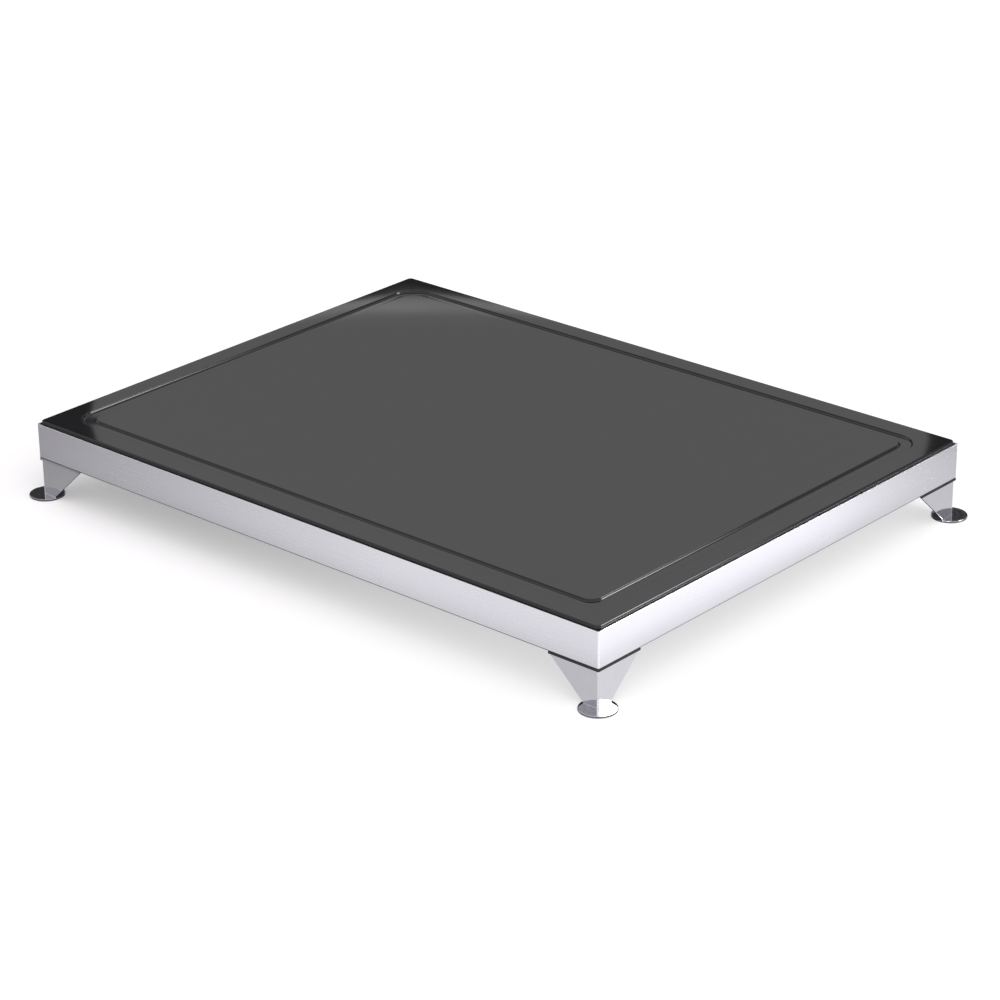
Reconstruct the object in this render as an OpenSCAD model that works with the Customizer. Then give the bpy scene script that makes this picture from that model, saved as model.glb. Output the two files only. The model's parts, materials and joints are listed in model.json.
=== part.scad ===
// Heated carving station: a black stone slab with a juice groove, dropped into a stainless frame
// on four tapered corner legs with disc feet. A heater lies under the slab, and the mains inlet,
// switch, lamp and temperature knob sit on the rear skirt.
// Millimetres. X runs along the long side, +Y is the rear, and Z = 0 is the surface it stands on.

/* [Frame] */
// Length of the frame over its outer faces
frame_l = 610; // [560:1:700]
// Width of the frame over its outer faces
frame_w = 457; // [400:1:520]
// Height of the skirt
skirt_h = 30.8; // [30.6:0.1:45]
// Thickness of the skirt's sheet
skirt_t = 1.2; // [0.8:0.1:1.5]
// Thickness of the inner rails' sheet
rail_t = 1; // [0.8:0.1:1.5]
// Width of the ledge that carries the slab, with the rail's web
rail_ledge = 14; // [13:0.5:20]
// Height of the rails' lower edge above the skirt's lower edge
rail_lift = 1.5; // [0.5:0.25:3]

/* [Slab] */
// Thickness of the stone slab
slab_t = 10; // [8:0.5:10.5]
// Height of the slab's top above the rim
slab_rise = 3; // [2.5:0.5:6]
// Gap between the slab and the skirt
slab_gap = 0.6; // [0.4:0.1:1.2]
// Radius of the slab's upright corners
slab_corner_r = 4; // [2:0.5:10]
// Radius of the slab's eased top edge
slab_edge_r = 1.2; // [0.5:0.1:1.8]
// Distance from the slab's side to the juice groove
groove_margin = 18.5; // [12:0.5:30]
// Width of the juice groove at the top
groove_w = 11.5; // [8:0.5:16]
// Depth of the juice groove
groove_d = 1.75; // [1:0.25:3]
// Outer corner radius of the juice groove
groove_r = 22; // [18:1:40]
// Diameter of the pads under the slab
pad_d = 10; // [6:0.5:11]
// Thickness of the pads under the slab
pad_t = 1; // [0.5:0.25:1.5]
// Distance from the end pads to the frame's ends
pad_end = 60; // [40:1:100]

/* [Legs and feet] */
// Clear height between the foot discs and the skirt
leg_h = 32.2; // [20:0.1:60]
// Thickness of the legs' sheet
leg_t = 1.5; // [1:0.1:2.5]
// Width of each leg flange at the skirt
leg_top_w = 47.5; // [40:0.5:54]
// Width of each leg flange at the foot
leg_foot_w = 14.2; // [8:0.1:15]
// Upright part of the leg's edge, below the skirt
leg_land = 1.5; // [0:0.25:8]
// Height of the leg inside the skirt
leg_tuck = 16; // [14:0.5:18]
// Diameter of the foot discs
foot_d = 30; // [29:0.5:45]
// Thickness of the foot discs
foot_t = 1.8; // [1.2:0.1:4]
// Bevel on the foot discs' edges
foot_bevel = 0.4; // [0.1:0.05:0.6]
// Distance from a leg's outer faces to the middle of its foot disc
foot_set = 2; // [1:0.1:4]
// Height of the seal strip round each leg, below the skirt
seal_h = 2; // [1:0.1:3]
// Step from the skirt's outer face back to the seal strip
seal_set = 0.2; // [0:0.05:0.6]
// Gap between a leg and the rails' webs
leg_gap = 2; // [0.5:0.5:6]
// Diameter of the leg studs
stud_d = 5; // [4:0.5:6]
// Length of the leg studs
stud_len = 8; // [7:0.5:10]
// Distance from a leg's corner to its studs
stud_out = 30; // [20:1:36]
// Height of the studs above the skirt's lower edge
stud_rise = 9; // [8:0.5:10]
// Size of the leg nuts across the flats
leg_nut_af = 8; // [7.5:0.5:10]
// Thickness of the leg nuts
leg_nut_t = 4; // [3:0.5:4.5]

/* [Bottom pan] */
// Thickness of the bottom pan
pan_t = 1; // [0.8:0.1:1.5]
// Height of the pan above the skirt's lower edge
pan_lift = 0.5; // [0:0.1:1]
// Gap between the pan and the legs
pan_gap = 0.5; // [0.3:0.1:2]
// Thickness of the pan brackets
bracket_t = 1.5; // [1:0.1:2.5]
// Width of the pan brackets
bracket_w = 18; // [12:0.5:24]
// Reach of the pan brackets from the rail
bracket_reach = 16; // [15:0.5:20]
// Height of the pan brackets
bracket_h = 12; // [8:0.5:16]
// Distance from the rail to the pan screws
bracket_hole_in = 10; // [8:0.5:11]
// Distance from the end brackets to the frame's corners
bracket_end = 110; // [80:1:140]
// Diameter of the pan screws
pan_screw_d = 4; // [3:0.5:5]
// Diameter of the pan screws' heads
pan_head_d = 7.5; // [6:0.5:9]
// Thickness of the pan screws' heads
pan_head_t = 1.8; // [1:0.1:2.5]
// Length of the pan screws past their brackets
pan_screw_point = 3; // [1:0.5:6]

/* [Heater] */
// Thickness of the aluminium heat spreader
spreader_t = 2; // [1.5:0.25:3]
// Gap between the spreader and the slab
spreader_gap = 0.5; // [0.3:0.1:1]
// Distance from the frame's outer faces to the spreader at the front and the ends
heater_margin = 32; // [28:1:60]
// Depth of the service bay behind the spreader, from the rear face
bay_depth = 72; // [68:1:90]
// Overhang of the spreader past the heating mat at the front and the ends
spreader_lip = 8; // [0:1:20]
// Overhang of the spreader past the heating mat at the rear
spreader_overhang = 24; // [20:1:36]
// Thickness of the heating mat
mat_t = 1.5; // [1:0.25:3]
// Width of the patch where the leads enter the mat
patch_w = 16; // [12:1:24]
// Depth of that patch
patch_d = 8; // [6:0.5:10]
// Thickness of that patch
patch_t = 4; // [3:0.5:5]
// Diameter of the thermal cut-out
cutout_d = 16; // [12:0.5:18]
// Height of the thermal cut-out's body
cutout_h = 9; // [6:0.5:12]
// Length of the thermal cut-out's flange
cutout_flange_l = 30; // [28:0.5:36]
// Width of the flanges on the cut-out and the sensor
heater_flange_w = 12; // [8:0.5:14]
// Thickness of those flanges
heater_flange_t = 1; // [0.6:0.1:1.5]
// Distance from the middle of the cut-out to its rivets
cutout_rivet_out = 11.5; // [11.5:0.5:13]
// Distance from the middle of the cut-out to its tabs' ends
cutout_tab_out = 16; // [14:0.5:20]
// Width of the tabs on the cut-out
cutout_tab_w = 4.8; // [3:0.1:6.3]
// Thickness of the tabs on the cut-out
cutout_tab_t = 0.8; // [0.5:0.1:1]
// Height of the tabs above the cut-out's lower face
cutout_tab_rise = 1.5; // [0.5:0.25:3]
// Length of the temperature sensor
sensor_l = 18; // [12:1:24]
// Width of the temperature sensor
sensor_w = 7; // [5:0.5:10]
// Height of the temperature sensor
sensor_h = 6; // [4:0.5:8]
// Length of the sensor's lug
sensor_lug_l = 10; // [8:0.5:14]
// Diameter of the rivets on the spreader
rivet_d = 3; // [2:0.25:3.5]
// Diameter of the rivets' heads
rivet_head_d = 5.5; // [4.5:0.25:6]
// Thickness of the rivets' heads
rivet_head_t = 1; // [0.5:0.1:1.5]

/* [Rear layout] */
// Distance from the frame's end to the middle of the inlet
inlet_end = 88; // [86:1:110]
// Distance from the inlet to the switch
switch_pitch = 58; // [48:1:70]
// Distance from the switch to the lamp
lamp_pitch = 30; // [22:1:40]
// Distance from the lamp to the knob
knob_pitch = 36; // [26:1:50]
// Distance from the knob to the middle of the control board
board_pitch = 83; // [72:1:100]
// Distance from the control board to the thermal cut-out
cutout_pitch = 80; // [78:1:90]
// Distance from the cut-out to the patch on the mat
patch_pitch = 40; // [36:1:50]
// Distance from the control board to the sensor
sensor_pitch = 10; // [0:1:15]

/* [Inlet] */
// Width of the inlet's flange
inlet_flange_w = 50; // [48:0.5:52]
// Height of the inlet's flange
inlet_flange_h = 22.5; // [21:0.5:24]
// Thickness of the inlet's flange
inlet_flange_t = 3; // [2:0.25:4]
// Corner radius of the inlet's flange
inlet_flange_r = 3; // [1:0.5:5]
// Width of the inlet's body
inlet_body_w = 27; // [26:0.25:28]
// Height of the inlet's body
inlet_body_h = 19.5; // [18:0.25:20]
// Depth of the inlet's body behind the skirt's outer face
inlet_body_d = 20; // [18:0.5:24]
// Width of the inlet's socket
inlet_socket_w = 24; // [23:0.25:25]
// Height of the inlet's socket
inlet_socket_h = 16.2; // [15.5:0.1:17]
// Depth of the inlet's socket
inlet_socket_d = 16.5; // [15:0.5:18]
// Cut across the two upper corners of the socket
inlet_socket_cut = 3.5; // [2:0.25:4]
// Half the distance between the live and neutral pins
inlet_pin_out = 7; // [6.5:0.1:7.5]
// Height of the earth pin above the middle, and depth of the other two below it
inlet_pin_off = 2; // [2:0.1:2.5]
// Width of the inlet's pins
inlet_pin_w = 2; // [1.5:0.1:2]
// Height of the inlet's pins
inlet_pin_h = 4; // [3:0.1:4]
// Length of the pins in the socket
inlet_pin_l = 14; // [12:0.5:14.5]
// Length of the pins' tails behind the body
inlet_tail = 8; // [5:0.5:10]
// Half the distance between the inlet's screws
inlet_screw_out = 20; // [19:0.5:21]
// Diameter of the inlet's screws
inlet_screw_d = 3; // [2.5:0.25:3.5]
// Diameter of the inlet screws' heads
inlet_head_d = 5.5; // [5:0.25:6.5]
// Thickness of the inlet screws' heads
inlet_head_t = 2; // [1.5:0.25:2.5]
// Size of the inlet's nuts across the flats
inlet_nut_af = 5.5; // [5:0.25:6.5]
// Thickness of the inlet's nuts
inlet_nut_t = 2.4; // [2:0.1:3]

/* [Switch] */
// Width of the switch's bezel
switch_bezel_w = 21.6; // [21:0.2:24]
// Height of the switch's bezel
switch_bezel_h = 15.2; // [15:0.2:17]
// Thickness of the switch's bezel
switch_bezel_t = 2; // [1.5:0.1:2.2]
// Corner radius of the switch's bezel
switch_bezel_r = 1.5; // [0.5:0.25:3]
// Wall of the switch's body round the rocker
switch_wall = 1.1; // [0.8:0.1:1.2]
// Depth of the switch's body behind the skirt's outer face
switch_body_d = 15; // [13:0.5:18]
// Depth of the well that the rocker sits in, behind the skirt's outer face
switch_well_d = 7; // [6:0.25:8]
// Half the length of the rocker
rocker_half_l = 7.6; // [7:0.1:8]
// Half the height of the rocker
rocker_half_h = 4.8; // [4:0.1:5]
// Height of the rocker's ends above the skirt's outer face
rocker_end = 4; // [3.8:0.1:4.5]
// Height of the rocker's middle above the skirt's outer face
rocker_mid = 2.6; // [2.2:0.1:3]
// Depth of the rocker's keel behind the skirt's outer face
rocker_keel = 4.2; // [3:0.1:4.5]
// Half the length of the rocker's keel
rocker_keel_half_l = 3.2; // [2:0.1:4]
// Depth of the rocker's pivot behind the skirt's outer face
rocker_pivot = 1; // [0.5:0.1:1.5]
// Depth of the rocker's lower edge at its ends, behind the skirt's outer face
rocker_skirt = 0.5; // [0:0.1:1]
// Diameter of the rocker's pivot pins
rocker_pin_d = 2.4; // [1.6:0.1:2.6]
// Gap between the rocker's ends and its well
rocker_end_gap = 1; // [0.8:0.1:1.5]
// Gap between the rocker's sides and its well
rocker_side_gap = 0.4; // [0.3:0.05:0.6]
// Angle from off to on
rocker_swing = 20; // [10:1:20]
// Half the distance between the switch's tabs
switch_tab_out = 5; // [4:0.25:6]
// Width of the switch's tabs
switch_tab_w = 0.8; // [0.5:0.1:1]
// Height of the switch's tabs
switch_tab_h = 4.8; // [3:0.1:6.3]
// Length of the switch's tabs inside its body
switch_tab_in = 5; // [3:0.5:6]
// Length of the switch's tabs behind its body
switch_tail = 8; // [5:0.5:10]

/* [Temperature control] */
// Diameter of the control's body
dial_body_d = 16; // [14:0.5:18]
// Depth of the control's body
dial_body_l = 9.5; // [8:0.5:12]
// Size of the wafer that the control's leads leave from
dial_wafer = 4; // [3:0.5:6]
// Diameter of the threaded bush
dial_bush_d = 7; // [6.6:0.1:8]
// Length of the bush outside the skirt
dial_bush_l = 5; // [4:0.25:5.5]
// Diameter of the shaft
dial_shaft_d = 6; // [4:0.25:6]
// Depth of the shaft in the control's body
dial_shaft_in = 6.5; // [4:0.5:7]
// Depth of the flat on the shaft
dial_flat = 1.5; // [0.5:0.25:1.5]
// Size of the bush's nut across the flats
dial_nut_af = 10; // [9.5:0.5:11]
// Thickness of the bush's nut
dial_nut_t = 2; // [1.5:0.25:3]
// Diameter of the knob
knob_d = 21; // [19:0.5:24]
// Height of the knob over its gap
knob_h = 11; // [10:0.25:11]
// Gap between the knob and the skirt
knob_gap = 0.6; // [0.4:0.1:1]
// Wall of the knob's skirt round the nut
knob_wall = 3; // [2:0.25:3.5]
// Thickness of the knob's face in front of the shaft
knob_face = 1.2; // [0.8:0.1:2]
// Angle that the knob turns through, from off to its highest setting
knob_sweep = 300; // [180:10:330]
// Number of grips round the knob
knob_grips = 18; // [12:1:24]
// Diameter of the grips' cuts
knob_grip_d = 2.4; // [1.5:0.1:2.6]
// Depth of the grips' cuts
knob_grip_depth = 0.7; // [0.3:0.1:0.9]
// Plain collar of the knob next to the skirt
knob_collar = 2.5; // [1.5:0.25:4]
// Width of the mark on the knob's face
knob_mark_w = 1.6; // [1:0.1:2.5]
// Depth of that mark
knob_mark_d = 0.5; // [0.2:0.1:0.6]

/* [Lamp] */
// Diameter of the lamp's body
lamp_d = 8; // [6:0.5:10]
// Depth of the lamp's body behind the skirt's outer face
lamp_body_l = 18; // [12:0.5:20]
// Diameter of the lamp's collar
lamp_collar_d = 11; // [10.5:0.5:13]
// Thickness of the lamp's collar
lamp_collar_t = 1.5; // [1:0.25:2.5]
// Diameter of the lamp's lens
lamp_lens_d = 8.4; // [6:0.2:10]
// Height of the lens
lamp_lens_h = 2.6; // [1.5:0.2:4]
// Radius on the lens's edge
lamp_lens_r = 1.2; // [0.5:0.1:1.4]
// Size of the lamp's nut across the flats
lamp_nut_af = 12; // [11.5:0.5:14]
// Thickness of the lamp's nut
lamp_nut_t = 2.5; // [2:0.25:4]

/* [Control board] */
// Length of the control board
board_l = 84; // [76:1:90]
// Width of the control board
board_w = 44; // [42:1:48]
// Thickness of the control board
board_t = 1.6; // [1:0.1:2.4]
// Distance from the rear face to the middle of the board
board_in = 36.5; // [36:0.5:40]
// Height of the posts under the board
post_h = 5; // [3:0.5:6]
// Diameter of the posts
post_d = 6; // [5:0.5:7]
// Distance from the board's edges to its posts
post_in = 4; // [3.5:0.25:5]
// Diameter of the board's screws
board_screw_d = 3; // [2:0.25:3.5]
// Diameter of the board screws' heads
board_head_d = 5.5; // [4.5:0.25:6]
// Thickness of the board screws' heads
board_head_t = 2; // [1:0.25:2.5]
// Length of the relay
relay_l = 20; // [15:0.5:24]
// Width of the relay
relay_w = 16; // [12:0.5:18]
// Height of the relay
relay_h = 12.5; // [10:0.5:13]
// Distance from the board's left edge to the relay
relay_in = 20; // [18:0.5:24]
// Diameter of the capacitors
cap_d = 10; // [6:0.5:11]
// Height of the capacitors
cap_h = 12; // [8:0.5:13]
// Distance between the capacitors
cap_pitch = 12; // [12:0.5:14]
// Distance from the board's left edge to the first capacitor
cap_in = 54; // [52:0.5:56]
// Distance between the ways of the terminals
way_pitch = 7; // [6:0.25:7.5]
// Depth of the terminals along the board
way_d = 9; // [7:0.5:10]
// Height of the terminals
way_h = 10; // [8:0.5:11]
// Height of the wire entries above the board
way_rise = 4.4; // [3:0.2:6]
// Diameter of the terminals' screw wells
way_well_d = 4; // [2:0.25:5]
// Depth of the terminals' screw wells
way_well_h = 2; // [1:0.25:3]
// Distance from the board's left edge to the terminals
way_in = 1; // [0:0.25:3]

/* [Earth point and wiring] */
// Distance from the inlet to the earth stud
earth_pitch = 45; // [40:1:55]
// Distance from the rear face to the earth stud
earth_in = 56.5; // [52:0.5:60]
// Diameter of the earth stud
earth_stud_d = 5; // [4:0.5:6]
// Height of the earth stud
earth_stud_h = 10; // [8:0.5:14]
// Size of the earth nut across the flats
earth_nut_af = 8; // [7.5:0.5:10]
// Thickness of the earth nut
earth_nut_t = 4; // [3:0.5:5]
// Diameter of the earth lug
earth_lug_d = 10; // [9:0.5:12]
// Thickness of the earth lug
earth_lug_t = 1; // [0.5:0.1:1.5]
// Diameter of the mains leads
lead_d = 2.4; // [1.6:0.1:2.8]
// Diameter of the lamp, dial and sensor leads
signal_d = 2; // [1.2:0.1:2.4]
// Distance between neighbouring leads
lane_step = 6; // [5:0.25:7]
// Length over which a lead bends
lead_bend = 5; // [2:0.5:6]

/* [Clearances] */
// Radial clearance of a shaft or pin that turns in its bore
turn_gap = 0.05; // [0.02:0.01:0.08]
// Radial clearance of a screw or stud in a nut, and of a shaft in its knob
thread_gap = 0.05; // [0.02:0.01:0.08]
// Radial clearance of a screw, stud or rivet in a plain hole
hole_gap = 0.2; // [0.1:0.05:0.4]
// Clearance of a control round its cut-out in the skirt
panel_gap = 0.25; // [0.1:0.05:0.4]

/* [Hidden] */
$fn = 64;

half_l = frame_l / 2;
half_w = frame_w / 2;
// Outer distance of the front, right, rear and left sides, in turn
side_out = [half_w, half_l, half_w, half_l];
front_side = 0;
right_side = 1;
rear_side = 2;
left_side = 3;

// Heights, from the surface up
skirt_z0 = foot_t + leg_h;
rim_z = skirt_z0 + skirt_h;
slab_top = rim_z + slab_rise;
slab_z0 = slab_top - slab_t;
rail_z0 = skirt_z0 + rail_lift;
rail_top = slab_z0 - pad_t;
rail_under = rail_top - rail_t;
pan_z0 = skirt_z0 + pan_lift;
pan_top = pan_z0 + pan_t;
spreader_top = slab_z0 - spreader_gap;
spreader_z0 = spreader_top - spreader_t;
mat_z0 = spreader_z0 - mat_t;
control_z = (pan_top + rail_under) / 2;
board_z0 = pan_top + post_h;
board_top = board_z0 + board_t;

// Length by which a cut runs past the face it opens, and a fused piece into its neighbour
lap = 1;

// Thickness of the skirt and the rail together, which the controls pass through
panel_t = skirt_t + rail_t;

// Insets from the frame's outer faces
slab_inset = skirt_t + slab_gap;
leg_inset = skirt_t;
pan_inset = max(leg_inset + leg_t, panel_t) + pan_gap;
foot_inset = leg_inset + foot_set;
pad_inset = panel_t + (rail_ledge - rail_t) / 2;

// The slab and its groove: half sizes along X and Y, in the order of the quarter turns
slab_half = [half_l - slab_inset, half_w - slab_inset];
groove_half = [for (h = slab_half) h - groove_margin - groove_w / 2];
groove_turn_r = groove_r - groove_w / 2;
groove_flat = groove_w / 2 - groove_d;

// The heater's plan
spreader_x = half_l - heater_margin;
spreader_y0 = -(half_w - heater_margin);
spreader_y1 = half_w - bay_depth;
mat_x = spreader_x - spreader_lip;
mat_y0 = spreader_y0 + spreader_lip;
mat_y1 = spreader_y1 - spreader_overhang;
overhang_y = spreader_y1 - spreader_overhang / 2;

// Places along the rear
inlet_x = -half_l + inlet_end;
switch_x = inlet_x + switch_pitch;
lamp_x = switch_x + lamp_pitch;
knob_x = lamp_x + knob_pitch;
board_x = knob_x + board_pitch;
cutout_x = board_x - cutout_pitch;
patch_x = cutout_x - patch_pitch;
sensor_x = board_x + sensor_pitch;
earth_x = inlet_x - earth_pitch;
earth_y = half_w - earth_in;
board_y = half_w - board_in;

// Details that other pieces meet
switch_well_w = 2 * (rocker_half_l + rocker_end_gap);
switch_well_h = 2 * (rocker_half_h + rocker_side_gap);
switch_body_w = switch_well_w + 2 * switch_wall;
switch_body_h = switch_well_h + 2 * switch_wall;
inlet_wall_y = inlet_flange_t - inlet_socket_d;
sensor_rivet_x = sensor_x - sensor_l / 2 - sensor_lug_l / 2;
cutout_z0 = spreader_z0 - heater_flange_t - cutout_h;
cutout_tab_z = cutout_z0 + cutout_tab_rise + cutout_tab_t / 2;
knob_well_d = knob_d - 2 * knob_wall - 2 * knob_grip_depth;
knob_end = knob_gap + knob_h;
shaft_end = knob_end - knob_face;
board_left = board_x - board_l / 2;
board_rear = board_y + board_w / 2;
way_x = board_left + way_in;
way_z = board_top + way_rise;
way_y = [for (i = [0:3]) board_y + (i - 1.5) * way_pitch];
leg_corners = [[-1, -1], [1, -1], [-1, 1], [1, 1]];
post_places = [for (c = leg_corners)
    [board_x + c[0] * (board_l / 2 - post_in), board_y + c[1] * (board_w / 2 - post_in)]];
rivet_places = [[cutout_x - cutout_rivet_out, overhang_y], [cutout_x + cutout_rivet_out, overhang_y],
    [sensor_rivet_x, overhang_y]];
// Pan brackets: side, and place along it as seen from inside the frame
bracket_places = [
    [front_side, -half_l + bracket_end], [front_side, 0], [front_side, half_l - bracket_end],
    [right_side, -half_w + bracket_end], [right_side, half_w - bracket_end],
    [rear_side, -half_l + bracket_end], [rear_side, -(board_x + board_l / 2 + bracket_w * 2)],
    [left_side, -half_w + bracket_end], [left_side, half_w - bracket_end]];
pad_places = [
    [front_side, -half_l + pad_end], [front_side, 0], [front_side, half_l - pad_end],
    [right_side, 0],
    [rear_side, -half_l + pad_end], [rear_side, 0], [rear_side, half_l - pad_end],
    [left_side, 0]];

// Routes of the leads inside the service bay
inlet_tail_y = half_w - inlet_body_d - inlet_tail;
switch_tail_y = half_w - switch_body_d - switch_tail;
lamp_tail_y = half_w - lamp_body_l;
dial_tail_y = half_w - panel_t - dial_body_l - dial_wafer;
pin_z = control_z - inlet_pin_off;
earth_pin_z = control_z + inlet_pin_off;
patch_z = spreader_z0 - patch_t / 2;
patch_y = mat_y1 + patch_d;
earth_lead_z = pan_top + lead_d / 2;
earth_lead_y = earth_y + earth_lug_d / 2 + hole_gap;
lamp_lead_z = board_top + way_h + lead_d;
sensor_land = [board_x + board_l / 2 - way_d, board_y - board_w / 2 + lane_step];
live_routes = [
    [[inlet_x + inlet_pin_out, inlet_tail_y, pin_z],
     [inlet_x + inlet_pin_out, inlet_tail_y - lane_step, pin_z],
     [switch_x - switch_tab_out, inlet_tail_y - lane_step, control_z],
     [switch_x - switch_tab_out, switch_tail_y, control_z]],
    [[switch_x + switch_tab_out, switch_tail_y, control_z],
     [switch_x + switch_tab_out, switch_tail_y - lane_step, control_z],
     [way_x - 2 * lane_step, switch_tail_y - lane_step, pin_z],
     [way_x - lane_step, way_y[3], way_z],
     [way_x, way_y[3], way_z]],
    [[way_x, way_y[0], way_z],
     [way_x - lane_step, way_y[0], way_z],
     [way_x - lane_step, overhang_y, cutout_tab_z],
     [cutout_x + cutout_tab_out, overhang_y, cutout_tab_z]],
    [[cutout_x - cutout_tab_out, overhang_y, cutout_tab_z],
     [cutout_x - cutout_tab_out - lane_step, overhang_y, cutout_tab_z],
     [cutout_x - cutout_tab_out - lane_step, mat_y1 + patch_d / 2, patch_z],
     [patch_x + patch_w / 2, mat_y1 + patch_d / 2, patch_z]]];
neutral_routes = [
    [[inlet_x - inlet_pin_out, inlet_tail_y, pin_z],
     [inlet_x - inlet_pin_out, inlet_tail_y - 2 * lane_step, pin_z],
     [way_x - 3 * lane_step, inlet_tail_y - 2 * lane_step, pan_top + lane_step],
     [way_x - lane_step, way_y[2], way_z],
     [way_x, way_y[2], way_z]],
    [[way_x, way_y[1], way_z],
     [way_x - 2 * lane_step, way_y[1], way_z],
     [way_x - 2 * lane_step, spreader_y1 + lane_step, way_z + lead_d],
     [patch_x, spreader_y1 + lane_step, way_z + lead_d],
     [patch_x, patch_y + lane_step, patch_z],
     [patch_x, patch_y, patch_z]]];
earth_route = [
    [inlet_x, inlet_tail_y, earth_pin_z],
    [inlet_x, inlet_tail_y - lane_step, earth_pin_z],
    [earth_x, inlet_tail_y - lane_step, earth_pin_z + lead_d],
    [earth_x, earth_lead_y + 2 * lane_step, earth_lead_z],
    [earth_x, earth_lead_y, earth_lead_z]];
sensor_route = [
    [sensor_x + sensor_l / 2, overhang_y, spreader_z0 - sensor_h / 2],
    [sensor_land[0], overhang_y, spreader_z0 - sensor_h / 2],
    [sensor_land[0], sensor_land[1], board_top + lane_step],
    [sensor_land[0], sensor_land[1], board_top]];
dial_route = [
    [knob_x, dial_tail_y, control_z],
    [knob_x, board_rear - lead_d, control_z],
    [board_left + 2 * way_d, board_rear - lead_d, control_z + lead_d],
    [board_left + 2 * way_d, board_rear - lead_d, board_top]];
lamp_route = [
    [lamp_x, lamp_tail_y, control_z],
    [lamp_x, board_rear - lane_step, control_z],
    [board_left - lane_step, board_rear - lane_step, lamp_lead_z],
    [board_left + 3 * way_d, board_rear - lane_step, lamp_lead_z],
    [board_left + 3 * way_d, board_rear - lane_step, board_top]];

// Helpers

// A box between two opposite corners
module block(low, high) {
    translate(low) cube(high - low);
}

// A round bar along Y
module rod_y(d, y0, y1) {
    translate([0, y0, 0]) rotate([-90, 0, 0]) cylinder(d = d, h = y1 - y0);
}

// A hexagon nut along Z, on Z = 0
module nut(af, t, bore_d) {
    difference() {
        cylinder(d = af / cos(30), h = t, $fn = 6);
        translate([0, 0, -lap]) cylinder(d = bore_d, h = t + 2 * lap);
    }
}

// A rectangle with rounded corners, centred
module rounded_rect(w, h, r) {
    square([w - 2 * r, h], center = true);
    square([w, h - 2 * r], center = true);
    for (x = [-1, 1], y = [-1, 1])
        translate([x * (w / 2 - r), y * (h / 2 - r)]) circle(r = r);
}

// Turns the front side's frame to another side, so that -Y is always outwards
module on_side(side) {
    rotate(90 * side) children();
}

// A mitred strip along one side, inset from the outer face
module strip(side, inset, t, z0, z1) {
    out = side_out[side] - inset;
    half = side_out[(side + 1) % 4] - inset;
    on_side(side)
        translate([0, 0, z0])
            linear_extrude(z1 - z0)
                polygon([[-half, -out], [half, -out], [half - t, t - out], [t - half, t - out]]);
}

// Places children at a corner of the frame, with their X and Y running inwards along its sides
module at_corner(corner, inset) {
    translate([corner[0] * (half_l - inset), corner[1] * (half_w - inset), 0])
        mirror([corner[0] > 0 ? 1 : 0, 0, 0])
            mirror([0, corner[1] > 0 ? 1 : 0, 0])
                children();
}

// Repeats a leg flange's feature on the corner's other flange
module both_flanges() {
    children();
    mirror([1, -1, 0]) children();
}

// Places children on the rear skirt's outer face, at the controls' height, with +Y outwards
module at_panel(x) {
    translate([x, half_w, control_z]) children();
}

// Points of a route with its corners bent round
function bent(p) = [
    p[0],
    for (i = [1:len(p) - 2])
        let (a = p[i - 1] - p[i], b = p[i + 1] - p[i],
             r = min(lead_bend, 0.45 * norm(a), 0.45 * norm(b)),
             p0 = p[i] + a * r / norm(a), p2 = p[i] + b * r / norm(b))
            for (k = [0:4])
                let (t = k / 4)
                    (1 - t) * (1 - t) * p0 + 2 * t * (1 - t) * p[i] + t * t * p2,
    p[len(p) - 1]];

// A round lead swept along a route
module lead(route, d) {
    sides = 8;
    p = bent(route);
    n = len(p);
    lean = [0.36, 0.48, 0.8];
    rings = [for (i = [0:n - 1])
        let (along = p[min(i + 1, n - 1)] - p[max(i - 1, 0)], t = along / norm(along),
             u0 = cross(t, lean), u = u0 / norm(u0), v = cross(t, u))
            for (k = [0:sides - 1])
                p[i] + d / 2 * (cos(360 * k / sides) * u + sin(360 * k / sides) * v)];
    walls = [for (i = [0:n - 2], k = [0:sides - 1])
        let (a = i * sides + k, b = i * sides + (k + 1) % sides)
            each [[a, a + sides, b + sides], [a, b + sides, b]]];
    caps = [[for (k = [0:sides - 1]) k], [for (k = [sides - 1:-1:0]) (n - 1) * sides + k]];
    polyhedron(points = rings, faces = concat(walls, caps), convexity = 6);
}

// Slab

// Section of the slab's edge, from the axis of its upright corner outwards
module slab_edge() {
    square([slab_corner_r - slab_edge_r, slab_t]);
    square([slab_corner_r, slab_t - slab_edge_r]);
    translate([slab_corner_r - slab_edge_r, slab_t - slab_edge_r]) circle(r = slab_edge_r);
}

module slab_blank() {
    core = [for (h = slab_half) h - slab_corner_r];
    translate([0, 0, slab_z0]) {
        translate([-core[0], -core[1], 0]) cube([2 * core[0], 2 * core[1], slab_t]);
        for (k = [0:3])
            rotate(90 * k) {
                ahead = core[k % 2];
                across = core[(k + 1) % 2];
                translate([ahead, across, 0])
                    rotate([90, 0, 0]) linear_extrude(2 * across) slab_edge();
                translate([ahead, across, 0]) rotate_extrude(angle = 90) slab_edge();
            }
    }
}

// Section of the groove about its middle at the slab's top: a flat floor between quarter-round walls
module groove_section() {
    square([2 * groove_flat, 2 * groove_d], center = true);
    for (x = [-groove_flat, groove_flat])
        translate([x, 0]) circle(r = groove_d);
}

module groove_cut() {
    turn = [for (h = groove_half) h - groove_turn_r];
    translate([0, 0, slab_top])
        for (k = [0:3])
            rotate(90 * k) {
                ahead = turn[k % 2];
                across = turn[(k + 1) % 2];
                translate([ahead + groove_turn_r, across, 0])
                    rotate([90, 0, 0]) linear_extrude(2 * across) groove_section();
                translate([ahead, across, 0])
                    rotate_extrude(angle = 90) translate([groove_turn_r, 0]) groove_section();
            }
}

module carving_slab() {
    color("#1d1c1e")
        difference() {
            slab_blank();
            groove_cut();
        }
}

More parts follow.
